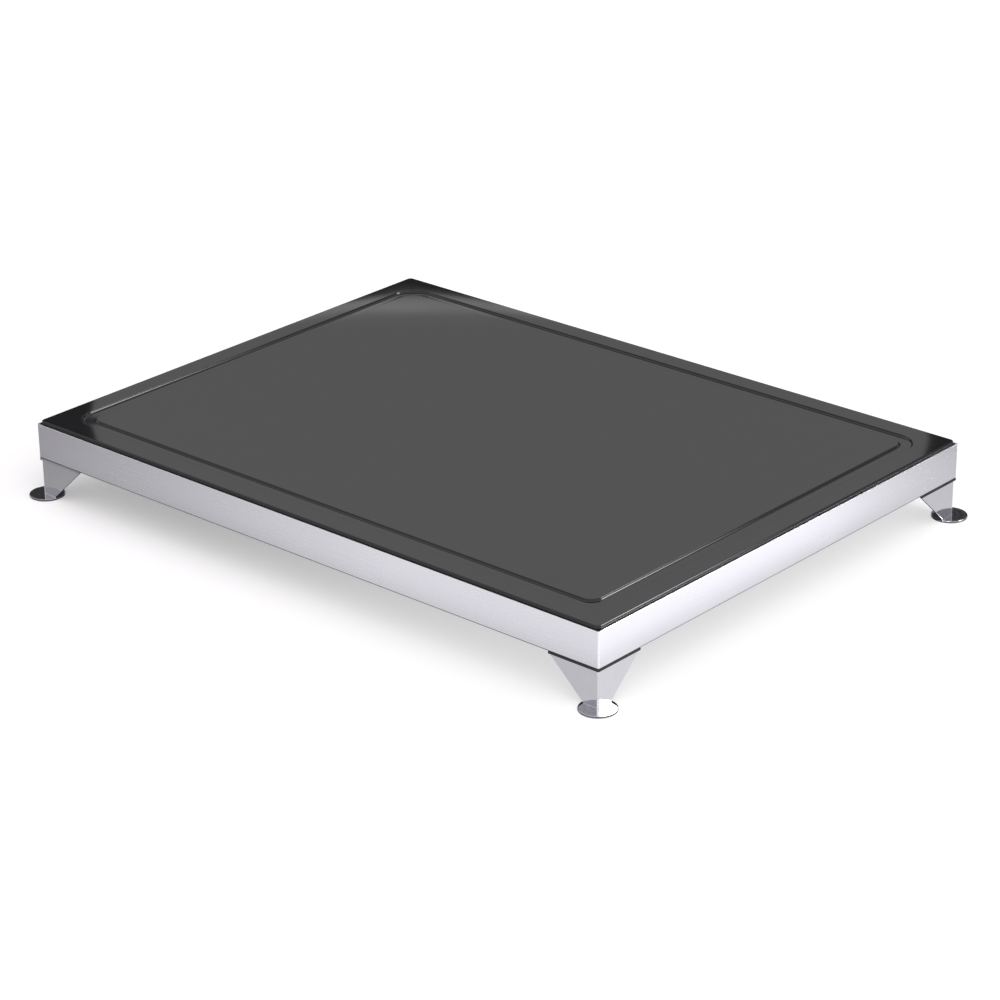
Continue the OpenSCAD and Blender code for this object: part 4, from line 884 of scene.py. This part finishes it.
class STATION_OT_slab(bpy.types.Operator):
    """Model the stone slab with its juice groove"""
    bl_idname = "station.slab"
    bl_label = "Stone slab"

    def execute(self, context):
        props = context.scene.station_slab
        size = SLAB_HIGH - SLAB_LOW
        top = SLAB_HIGH.z
        slab = plate("stone_slab", size.xy, (0, 0, SLAB_LOW.z))
        bpy.ops.mesh.bevel(offset=props.corner_r, segments=8, affect="VERTICES")
        bpy.ops.mesh.select_all(action="SELECT")
        bpy.ops.mesh.extrude_region_move(TRANSFORM_OT_translate={"value": (0, 0, size.z)})
        round_edges(slab, lambda e: level(e, top), props.edge_r, 6)
        round_edges(slab, lambda e: level(e, SLAB_LOW.z), props.foot_r, 2)
        self.cut_groove(slab, props)
        deselect()
        outer = SLAB_HIGH - Vector((SIDE_BAND, SIDE_BAND, props.edge_r))
        for face in slab.data.polygons:
            outside = abs(face.center.x) > outer.x or abs(face.center.y) > outer.y
            face.material_index = int(outside and face.center.z < outer.z)
        settle(slab, "slab", "black_stone", polished_granite(), honed_granite(),
               stands_for=("carving_slab",))
        return {"FINISHED"}

    def cut_groove(self, slab, props):
        """Open the top, set the groove's outline into it and sink its walls and its floor ring by ring."""
        top = SLAB_HIGH.z
        steep = math.radians(80)
        wall_r = props.groove_d / (1 - math.cos(steep)) - props.lip_r
        run = (props.lip_r + wall_r) * math.sin(steep)
        eased = run - props.groove_d
        turns = [steep * i / 6 for i in range(7)]
        wall = [(props.lip_r * math.sin(a), props.lip_r * (math.cos(a) - 1)) for a in turns]
        wall += [(run - wall_r * math.sin(a), wall_r * (1 - math.cos(a)) - props.groove_d)
                 for a in turns[-2::-1]]
        section = wall + [(props.groove_w + 2 * eased - far, drop) for far, drop in reversed(wall)]
        margin = props.groove_margin - eased
        size = 2 * (SLAB_HIGH.xy - Vector((margin, margin)))
        pick(slab, "FACE", lambda f: level(f, top))
        bpy.ops.mesh.delete(type="ONLY_FACE")
        bpy.ops.mesh.primitive_plane_add(size=1, location=(0, 0, top))
        bpy.ops.transform.resize(value=(size.x, size.y, 1), center_override=(0, 0, top))
        bpy.ops.mesh.bevel(offset=props.groove_r + eased, segments=16, affect="VERTICES")
        pick(slab, "FACE", lambda f: level(f, top))
        bpy.ops.mesh.delete(type="ONLY_FACE")
        pick(slab, "EDGE", lambda e: level(e, top) and len(e.link_faces) < 2)
        bpy.ops.mesh.fill()
        pick(slab, "EDGE", lambda e: level(e, top) and len(e.link_faces) == 1)
        bpy.ops.mesh.edge_face_add()
        bpy.ops.mesh.select_all(action="SELECT")
        bpy.ops.mesh.normals_make_consistent(inside=False)
        pick(slab, "FACE", lambda f: level(f, top) and f.calc_area() > size.x * size.y / 2)
        for (a, deep_a), (b, deep_b) in zip(section, section[1:]):
            bpy.ops.mesh.inset(thickness=b - a, depth=deep_b - deep_a)


class STATION_OT_skirts(bpy.types.Operator):
    """Model the four mitred skirts and cut the rear one for the controls"""
    bl_idname = "station.skirts"
    bl_label = "Skirts"

    def execute(self, context):
        props = context.scene.station_frame
        ring = plate("skirt_ring", (2 * HALF_L, 2 * HALF_W), (0, 0, SKIRT_Z0))
        bpy.ops.mesh.bevel(offset=props.corner_r, segments=6, affect="VERTICES")
        bpy.ops.mesh.select_all(action="SELECT")
        bpy.ops.mesh.inset(thickness=SKIRT_T)
        bpy.ops.mesh.delete(type="FACE")
        bpy.ops.mesh.select_all(action="SELECT")
        bpy.ops.mesh.extrude_region_move(TRANSFORM_OT_translate={"value": (0, 0, RIM_Z - SKIRT_Z0)})
        bpy.ops.mesh.select_all(action="SELECT")
        bpy.ops.mesh.normals_make_consistent(inside=False)
        round_edges(ring, lambda e: level(e, SKIRT_Z0) and any(
            f.normal.dot(f.calc_center_median()) > 0 for f in e.link_faces), props.hem_r, 6)
        round_edges(ring, lambda e: e.calc_face_angle(0) > math.radians(60) and level(e, RIM_Z),
                    props.edge_r, 3)
        deselect()
        # The sheet's lower edge, which looks down, is as the shear left it, and its darker colour is partly
        # painted shade
        for face in ring.data.polygons:
            face.material_index = int(face.normal.z < -0.1)
        for side, out in SIDES.items():
            skirt = copied(ring, side + "_skirt_sheet")
            self.mitre(skirt, out)
            if side == "rear":
                self.cut_openings(skirt, context.scene.station_controls)
            finish = brushed_stainless("x" if out.x == 0 else "y")
            settle(skirt, "base", "satin_steel", finish, shaded_sheared_stainless(), stands_for=(side + "_skirt",))
        bpy.data.objects.remove(ring)
        return {"FINISHED"}

    def mitre(self, skirt, out):
        """Keep one side of the ring, between the mitres at its two ends."""
        take(skirt)
        bpy.ops.object.mode_set(mode="EDIT")
        along = Vector((-out.y, out.x, 0))
        for end in (-1, 1):
            way = end * along
            corner = Vector(((out + way).x * HALF_L, (out + way).y * HALF_W, SKIRT_Z0))
            bpy.ops.mesh.select_all(action="SELECT")
            bpy.ops.mesh.bisect(plane_co=corner, plane_no=(way - out).normalized(), use_fill=True,
                                clear_outer=True, threshold=CUT_NEAR)
        deselect()

    def cut_openings(self, skirt, props):
        """Open the rear skirt for the inlet and its screws, the switch, the lamp and the control."""
        inside, outside = HALF_W - 3 * SKIRT_T, HALF_W + 2 * SKIRT_T
        for x, w, h in ((INLET_X, props.inlet_cut_w / 2, props.inlet_cut_h / 2),
                        (SWITCH_X, props.switch_cut_w / 2, props.switch_cut_h / 2)):
            cut(skirt, block("cutter", (x - w, inside, CONTROL_Z - h), (x + w, outside, CONTROL_Z + h)))
        for x, d in ((LAMP_X, props.lamp_hole_d), (KNOB_X, props.bush_hole_d),
                     (INLET_X - props.inlet_screw_out, props.inlet_hole_d),
                     (INLET_X + props.inlet_screw_out, props.inlet_hole_d)):
            cut(skirt, rod("cutter", d / 2, (x, inside, CONTROL_Z), (x, outside, CONTROL_Z)))


class STATION_OT_legs(bpy.types.Operator):
    """Model one folded, tapered leg and copy it to the corners"""
    bl_idname = "station.legs"
    bl_label = "Legs"

    def execute(self, context):
        props = context.scene.station_frame
        size = LEG_HIGH - LEG_LOW
        leg = block("leg_pattern", (0, 0, LEG_LOW.z), (size.x, size.y, LEG_HIGH.z))
        pick(leg, "FACE", lambda f: f.normal.x > -0.5 and f.normal.y > -0.5)
        bpy.ops.mesh.delete(type="FACE")
        round_edges(leg, lambda e: all(v.co.xy.length < NEAR for v in e.verts), props.leg_bend_r, 6)
        rise = SKIRT_Z0 - props.leg_land - LEG_LOW.z
        for axis in (0, 1):
            start = Vector((0, 0, LEG_LOW.z))
            start[axis] = props.leg_foot_w
            out = Vector((0, 0, props.leg_foot_w - size[axis]))
            out[axis] = rise
            bpy.ops.mesh.select_all(action="SELECT")
            bpy.ops.mesh.bisect(plane_co=start, plane_no=out.normalized(), clear_outer=True,
                                threshold=CUT_NEAR)
        deselect()
        apply_modifier(leg, "SOLIDIFY", thickness=props.leg_t, offset=-1, use_even_offset=True)
        far, stud_z = props.stud_out, SKIRT_Z0 + props.stud_rise
        for start, end in (((far, -STUD_CUT, stud_z), (far, STUD_CUT, stud_z)),
                           ((-STUD_CUT, far, stud_z), (STUD_CUT, far, stud_z))):
            cut(leg, rod("cutter", props.stud_hole_d / 2, start, end))
        ease(leg, props.edge_r, degrees=40)
        # The sheet's cut edges are as the shear left them, and their darker colour is partly painted shade
        for face in leg.data.polygons:
            spot, out = face.center, face.normal
            bare = spot.x > BEND_BAND and abs(out.y) < 0.5 or spot.y > BEND_BAND and abs(out.x) < 0.5
            face.material_index = int(bare)
        for corner, quarter in CORNERS.items():
            low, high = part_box(corner + "_leg")
            place = (low.x if "left" in corner else high.x, low.y if "front" in corner else high.y, 0)
            made = copied(leg, corner + "_folded_leg", place, (0, 0, quarter * math.pi / 2))
            settle(made, "base", "polished_steel", mirror_stainless(), shaded_sheared_stainless(),
                   stands_for=(corner + "_leg",))
        bpy.data.objects.remove(leg)
        return {"FINISHED"}


class STATION_OT_feet(bpy.types.Operator):
    """Model one disc foot and copy it to the corners"""
    bl_idname = "station.feet"
    bl_label = "Feet"

    def execute(self, context):
        props = context.scene.station_frame
        radius = (FOOT_HIGH.x - FOOT_LOW.x) / 2
        foot = rod("foot_pattern", radius, (0, 0, FOOT_LOW.z), (0, 0, FOOT_HIGH.z), 96)
        round_edges(foot, lambda e: level(e, FOOT_LOW.z) or level(e, FOOT_HIGH.z),
                    props.foot_bevel, 4)
        pick(foot, "FACE", lambda f: level(f, FOOT_LOW.z))
        bpy.ops.mesh.inset(thickness=radius / 4)
        bpy.ops.mesh.inset(thickness=SOLE_STEP, depth=-SOLE_STEP)
        deselect()
        # The disc's rim is as the shear left it, and its darker colour is partly painted shade
        for face in foot.data.polygons:
            face.material_index = int(abs(face.normal.z) < 0.7)
        for corner in CORNERS:
            low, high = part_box(corner + "_foot")
            centre = (low + high) / 2
            made = copied(foot, corner + "_disc_foot", (centre.x, centre.y, 0))
            settle(made, "base", "polished_steel", turned_stainless(), shaded_sheared_stainless(),
                   stands_for=(corner + "_foot",))
        bpy.data.objects.remove(foot)
        return {"FINISHED"}


class STATION_OT_underside(bpy.types.Operator):
    """Dress the leg seals, the bottom pan, its brackets and its screws"""
    bl_idname = "station.underside"
    bl_label = "Underside"

    def execute(self, context):
        dress("leg_seals", "leg_gaskets", "seal_rubber", extruded_rubber(), edge=0.3)
        dress("bottom_pan", "bottom_cover", "plain_steel", mill_stainless(), edge=0.2)
        dress("pan_brackets", "cover_brackets", "plain_steel", mill_stainless(), edge=0.2)
        fasten("pan_screws", PAN_SCREW, "cover_screws", math.pi)
        return {"FINISHED"}


class STATION_OT_inlet(bpy.types.Operator):
    """Dress the mains inlet and its screws"""
    bl_idname = "station.inlet"
    bl_label = "Mains inlet"

    def execute(self, context):
        dress("inlet_housing", "inlet_moulding", "black_plastic", black_plastic(), edge=0.35, segments=3)
        dress("inlet_pins", "inlet_blades", "contact_brass", plated_brass(), edge=0.35, segments=3)
        fasten("inlet_screws", INLET_SCREW, "inlet_fixing_screws", -math.pi / 2)
        dress("inlet_nuts", "inlet_fixing_nuts", "fastener_steel", zinc_steel(), edge=0.2)
        return {"FINISHED"}


class STATION_OT_switch(bpy.types.Operator):
    """Dress the power switch and mark its rocker"""
    bl_idname = "station.switch"
    bl_label = "Power switch"

    def execute(self, context):
        props = context.scene.station_controls
        dress("rocker_housing", "switch_bezel", "black_plastic", black_plastic(), edge=0.35, segments=3)
        dress("rocker_contacts", "switch_tabs", "contact_brass", plated_brass(), edge=0.15)
        # Moulded polycarbonate: an even red with a hard gloss
        red = moulded("red_polycarbonate", "a8201f", "981b1c", 0.14, 0.24, 3, 0.01, 0.4)
        dress("rocker_button", "rocker_key", "red_plastic", red, edge=0.3, segments=3, body="rocker")
        for mark, name, side in ((self.stroke(props), "mark_on", -1), (self.ring(props), "mark_off", 1)):
            self.set_on_rocker(mark, name, side, props)
            settle(mark, "rocker", "red_plastic", pale_ink())
        return {"FINISHED"}

    def stroke(self, props):
        """The upright stroke that marks on."""
        stroke = block("stroke", (-STROKE_HALF, 0, -MARK_HALF), (STROKE_HALF, props.ink_t, MARK_HALF))
        round_edges(stroke, lambda e: abs(e.verts[0].co.y - e.verts[1].co.y) > NEAR, STROKE_R, 3)
        deselect()
        return stroke

    def ring(self, props):
        """The ring that marks off."""
        ring = rod("ring", MARK_HALF, (0, 0, 0), (0, props.ink_t, 0))
        pick(ring, "FACE", lambda f: abs(f.normal.y) > 0.5)
        bpy.ops.mesh.inset(thickness=RING_W)
        bpy.ops.mesh.bridge_edge_loops()
        deselect()
        return ring

    def set_on_rocker(self, mark, name, side, props):
        """Lay a mark on one half of the rocker and tip it with the rocker."""
        out = MARK_OUT * props.rocker_half
        rise = props.rocker_end - props.rocker_mid
        slope = math.atan2(side * rise, props.rocker_half)
        height = props.rocker_mid + rise * out / props.rocker_half
        on_half = Matrix.Translation((side * out, height, 0)) @ Matrix.Rotation(slope, 4, "Z")
        pivot = Vector((SWITCH_X, HALF_W - props.rocker_pivot, CONTROL_Z))
        tipped = Matrix.Translation(pivot) @ Matrix.Rotation(props.rocker_tilt, 4, "Z")
        take(rename(mark, name))
        mark.matrix_world = tipped @ Matrix.Translation((0, props.rocker_pivot, 0)) @ on_half
        bpy.ops.object.transform_apply()


class STATION_OT_control(bpy.types.Operator):
    """Model the control knob, its mark and its printed scale, and dress the control behind them"""
    bl_idname = "station.control"
    bl_label = "Temperature control"

    def execute(self, context):
        props = context.scene.station_controls
        self.model_knob(props)
        self.print_scale(props)
        dress("dial_body", "control_body", "black_plastic", black_plastic(), edge=0.3)
        dress("dial_nut", "control_nut", "fastener_steel", zinc_steel(), edge=0.25)
        dress("dial_shaft", "control_shaft", "fastener_steel", zinc_steel(), edge=0.2, body="knob")
        return {"FINISHED"}

    def model_knob(self, props):
        """Round the knob's face, cut its grips, its hollow and its mark, and turn it to off."""
        radius = (KNOB_HIGH.x - KNOB_LOW.x) / 2
        back, front = KNOB_LOW.y, KNOB_HIGH.y
        knob = rod("fluted_knob", radius, (0, back, 0), (0, front, 0), 108)
        round_edges(knob, lambda e: level(e, front, axis=1), KNOB_EDGE_R, 4)
        pick(knob, "FACE", lambda f: level(f, front, axis=1))
        bpy.ops.mesh.inset(thickness=KNOB_BAND)
        bpy.ops.mesh.inset(thickness=KNOB_STEP_W, depth=-KNOB_STEP_D)
        grip = radius + props.knob_grip_d / 2 - props.knob_grip_depth
        grips = []
        for i in range(props.knob_grips):
            turn = math.tau * (i + 0.5) / props.knob_grips
            x, z = grip * math.sin(turn), grip * math.cos(turn)
            start, end = (x, back + props.knob_collar, z), (x, front + MM, z)
            grips.append(rod("grip", props.knob_grip_d / 2, start, end, 24))
        deselect()
        cut(knob, joined(grips, "grips"))
        inside = back + props.knob_well_l
        cut(knob, rod("cutter", props.knob_well_d / 2, (0, back - MM, 0), (0, inside, 0)))
        cut(knob, rod("cutter", props.knob_bore_d / 2, (0, back - MM, 0), (0, front - props.knob_face, 0)))
        half = props.knob_mark_w / 2
        reach = radius - props.knob_grip_depth - MARK_MARGIN
        depth = front - props.knob_mark_d
        cut(knob, block("cutter", (-half, depth, 0), (half, front + MM, reach)))
        mark = block("knob_mark", (-half, depth, 0), (half, front - MARK_SUNK, reach))
        deselect()
        ease(mark, MARK_EDGE_R)
        ease(knob, GRIP_EDGE_R, degrees=40)
        for piece, finish in ((knob, black_plastic()), (mark, pale_ink())):
            put(piece, (KNOB_X, 0, CONTROL_Z), (0, props.knob_off, 0))
            nodes = ("control_knob",) if piece == knob else ()
            settle(piece, "knob", "black_plastic", finish, stands_for=nodes)

    def print_scale(self, props):
        """Print seven ticks round the knob and the numbers 1 to 5."""
        face = HALF_W
        marks = []
        for step in range(-3, 4):
            turn = math.radians(STEP * step)
            tick = block("tick", (-TICK_HALF, face, TICK_START), (TICK_HALF, face + props.ink_t, TICK_END))
            deselect()
            marks.append(copied(tick, "tick_turned", (KNOB_X, 0, CONTROL_Z), (0, -turn, 0)))
            bpy.data.objects.remove(tick)
        for step in range(-2, 3):
            turn = math.radians(STEP * step)
            place = (KNOB_X - NUMERAL_OUT * math.sin(turn), face + props.ink_t / 2,
                     CONTROL_Z + NUMERAL_OUT * math.cos(turn))
            marks.append(self.numeral(str(step + 3), place, props))
        deselect()
        settle(joined(marks, "control_scale"), "base", "satin_steel", screen_ink())

    def numeral(self, digit, place, props):
        """A number that faces the rear."""
        deselect()
        bpy.ops.object.text_add()
        text = bpy.context.object
        text.data.body = digit
        text.data.size = props.numeral_h / CAP_SHARE
        text.data.extrude = props.ink_t / 2
        text.data.align_x = "CENTER"
        text.data.align_y = "CENTER"
        text.data.resolution_u = 6
        bpy.ops.object.convert(target="MESH")
        return put(bpy.context.object, place, (math.pi / 2, 0, math.pi))


class STATION_OT_lamp(bpy.types.Operator):
    """Dress the heating lamp and model its ribbed lens"""
    bl_idname = "station.lamp"
    bl_label = "Heating lamp"

    def execute(self, context):
        dress("lamp_body", "lamp_barrel", "fastener_steel", chromed_brass(), edge=0.3, segments=3)
        dress("lamp_nut", "lamp_ring_nut", "fastener_steel", zinc_steel(), edge=0.25)
        radius = (LENS_HIGH.x - LENS_LOW.x) / 2
        front = LENS_HIGH.y
        lens = rod("ribbed_lens", radius, (LAMP_X, LENS_LOW.y, CONTROL_Z), (LAMP_X, front, CONTROL_Z), 72)
        round_edges(lens, lambda e: level(e, front, axis=1), LENS_EDGE_R, 6)
        pick(lens, "FACE", lambda f: level(f, front, axis=1))
        for depth in (-RIB_D, RIB_D, -RIB_D, RIB_D):
            bpy.ops.mesh.inset(thickness=RIB_W)
            bpy.ops.mesh.inset(thickness=RIB_WALL, depth=depth)
        deselect()
        settle(lens, "base", "amber_plastic", amber_lens(), stands_for=("lamp_lens",))
        return {"FINISHED"}


class STATION_OT_heater(bpy.types.Operator):
    """Dress the rails, the slab's pads and the heater under the slab"""
    bl_idname = "station.heater"
    bl_label = "Rails and heater"

    def execute(self, context):
        for side in SIDES:
            dress(side + "_rail", side + "_angle_rail", "plain_steel", mill_stainless(), edge=0.2)
        # Pads cut from silicone sponge: matt dark grey with fine pores
        pad = moulded("silicone_sponge", "434346", "343437", 0.55, 0.7, 0.8, 0.3)
        dress("slab_pads", "bearing_pads", "pad_silicone", pad, edge=0.25)
        sheet = rolled_aluminium()
        dress("heat_spreader", "spreader_plate", "spreader_aluminium", sheet, edge=0.4)
        # Glass cloth pressed into silicone: matt brick red, uneven where the cloth lies near the surface
        mat = moulded("silicone_glass_mat", "b5512e", "9c4426", 0.5, 0.65, 1.2, 0.4)
        dress("heating_mat", "heater_mat", "mat_silicone", mat, edge=0.4)
        # Pressed mineral fibre: dry pale yellow, rough and without gloss
        fibre = moulded("mineral_fibre_board", "d8cfa8", "bfb58b", 0.85, 0.95, 1.5, 0.8)
        dress("insulation_board", "fibre_board", "insulation_fibre", fibre, edge=0.6)
        dress("thermal_cutout", "cutout_case", "black_plastic", black_plastic(), edge=0.4)
        dress("temperature_sensor", "sensor_case", "spreader_aluminium", sheet, edge=0.3)
        dress("heater_rivets", "rivet_heads", "spreader_aluminium", sheet, edge=0.3)
        return {"FINISHED"}


class STATION_OT_board(bpy.types.Operator):
    """Dress the control board and what it carries"""
    bl_idname = "station.board"
    bl_label = "Control board"

    def execute(self, context):
        dress("control_board", "circuit_board", "board_laminate", solder_mask())
        dress("board_posts", "spacer_posts", "contact_brass", plated_brass(), edge=0.3)
        # Moulded polyester: smooth blue with a soft gloss
        blue = moulded("blue_polyester", "2f5490", "264679", 0.25, 0.35, 1.5, 0.05)
        dress("board_relay", "relay_case", "relay_plastic", blue, edge=0.5, segments=3)
        # Plastic film shrunk round the cans: smooth, dark and glossy
        sleeve = moulded("shrunk_sleeve", "3a3d44", "2c2f36", 0.2, 0.32, 4, 0.02)
        dress("board_capacitors", "capacitor_cans", "capacitor_sleeve", sleeve, edge=0.6, segments=3)
        # Moulded polyamide: satin green with a slight grain
        green = moulded("green_polyamide", "468a57", "3a7649", 0.35, 0.48, 1.0, 0.1)
        dress("board_terminals", "terminal_blocks", "terminal_plastic", green, edge=0.3)
        fasten("board_screws", BOARD_SCREW, "board_fixing_screws", 0)
        return {"FINISHED"}


class STATION_OT_wiring(bpy.types.Operator):
    """Dress the leads, the earth stud and the leg fixings"""
    bl_idname = "station.wiring"
    bl_label = "Wiring and fixings"

    def execute(self, context):
        # Extruded PVC: smooth and satin, and on the earth lead green that runs into yellow
        grey = ("grey", "8d8f94", "7b7d82")
        sleeves = {"live_leads": ("brown", "6b3f24", "5a341d"),
                   "neutral_leads": ("blue", "2f62b3", "284f92"),
                   "earth_lead": ("green", "7fae3c", "c8b93a"),
                   "sensor_lead": grey, "dial_lead": grey, "lamp_lead": grey}
        for node, (colour, code, dark) in sleeves.items():
            pvc = moulded("pvc_sleeve_" + colour, code, dark, 0.35, 0.45, 6, 0.02)
            dress(node, node.replace("lead", "wire"), colour + "_insulation", pvc, degrees=50)
        for node, name in (("earth_stud", "earth_post"), ("earth_nut", "earth_post_nut"),
                           ("leg_studs", "leg_weld_studs"), ("leg_nuts", "leg_fixing_nuts")):
            dress(node, name, "fastener_steel", zinc_steel(), edge=0.25)
        return {"FINISHED"}


class STATION_PT_panel(bpy.types.Panel):
    """Lists the station's pieces and settings"""
    bl_label = "Carving station"
    bl_idname = "STATION_PT_panel"
    bl_space_type = "VIEW_3D"
    bl_region_type = "UI"
    bl_category = "Station"

    def draw(self, context):
        for operator in OPERATORS:
            self.layout.operator(operator.bl_idname)
        for group in GROUPS:
            box = self.layout.box()
            for name in group.__annotations__:
                box.prop(getattr(context.scene, GROUPS[group]), name)


GROUPS = {StationSlab: "station_slab", StationFrame: "station_frame", StationControls: "station_controls",
          StationStage: "station_stage"}
OPERATORS = (STATION_OT_stage, STATION_OT_slab, STATION_OT_skirts, STATION_OT_legs, STATION_OT_feet,
             STATION_OT_underside, STATION_OT_inlet, STATION_OT_switch, STATION_OT_control, STATION_OT_lamp,
             STATION_OT_heater, STATION_OT_board, STATION_OT_wiring)


def register():
    """Register the add-on's classes and its settings."""
    for group, name in GROUPS.items():
        bpy.utils.register_class(group)
        setattr(bpy.types.Scene, name, bpy.props.PointerProperty(type=group))
    for kind in (*OPERATORS, STATION_PT_panel):
        bpy.utils.register_class(kind)


def unregister():
    """Take the add-on's classes and settings away again."""
    for kind in (STATION_PT_panel, *reversed(OPERATORS)):
        bpy.utils.unregister_class(kind)
    for group, name in reversed(GROUPS.items()):
        delattr(bpy.types.Scene, name)
        bpy.utils.unregister_class(group)


def main():
    """Build the station."""
    register()
    for operator in OPERATORS:
        category, name = operator.bl_idname.split(".")
        getattr(getattr(bpy.ops, category), name)()


if __name__ == "__main__":
    main()
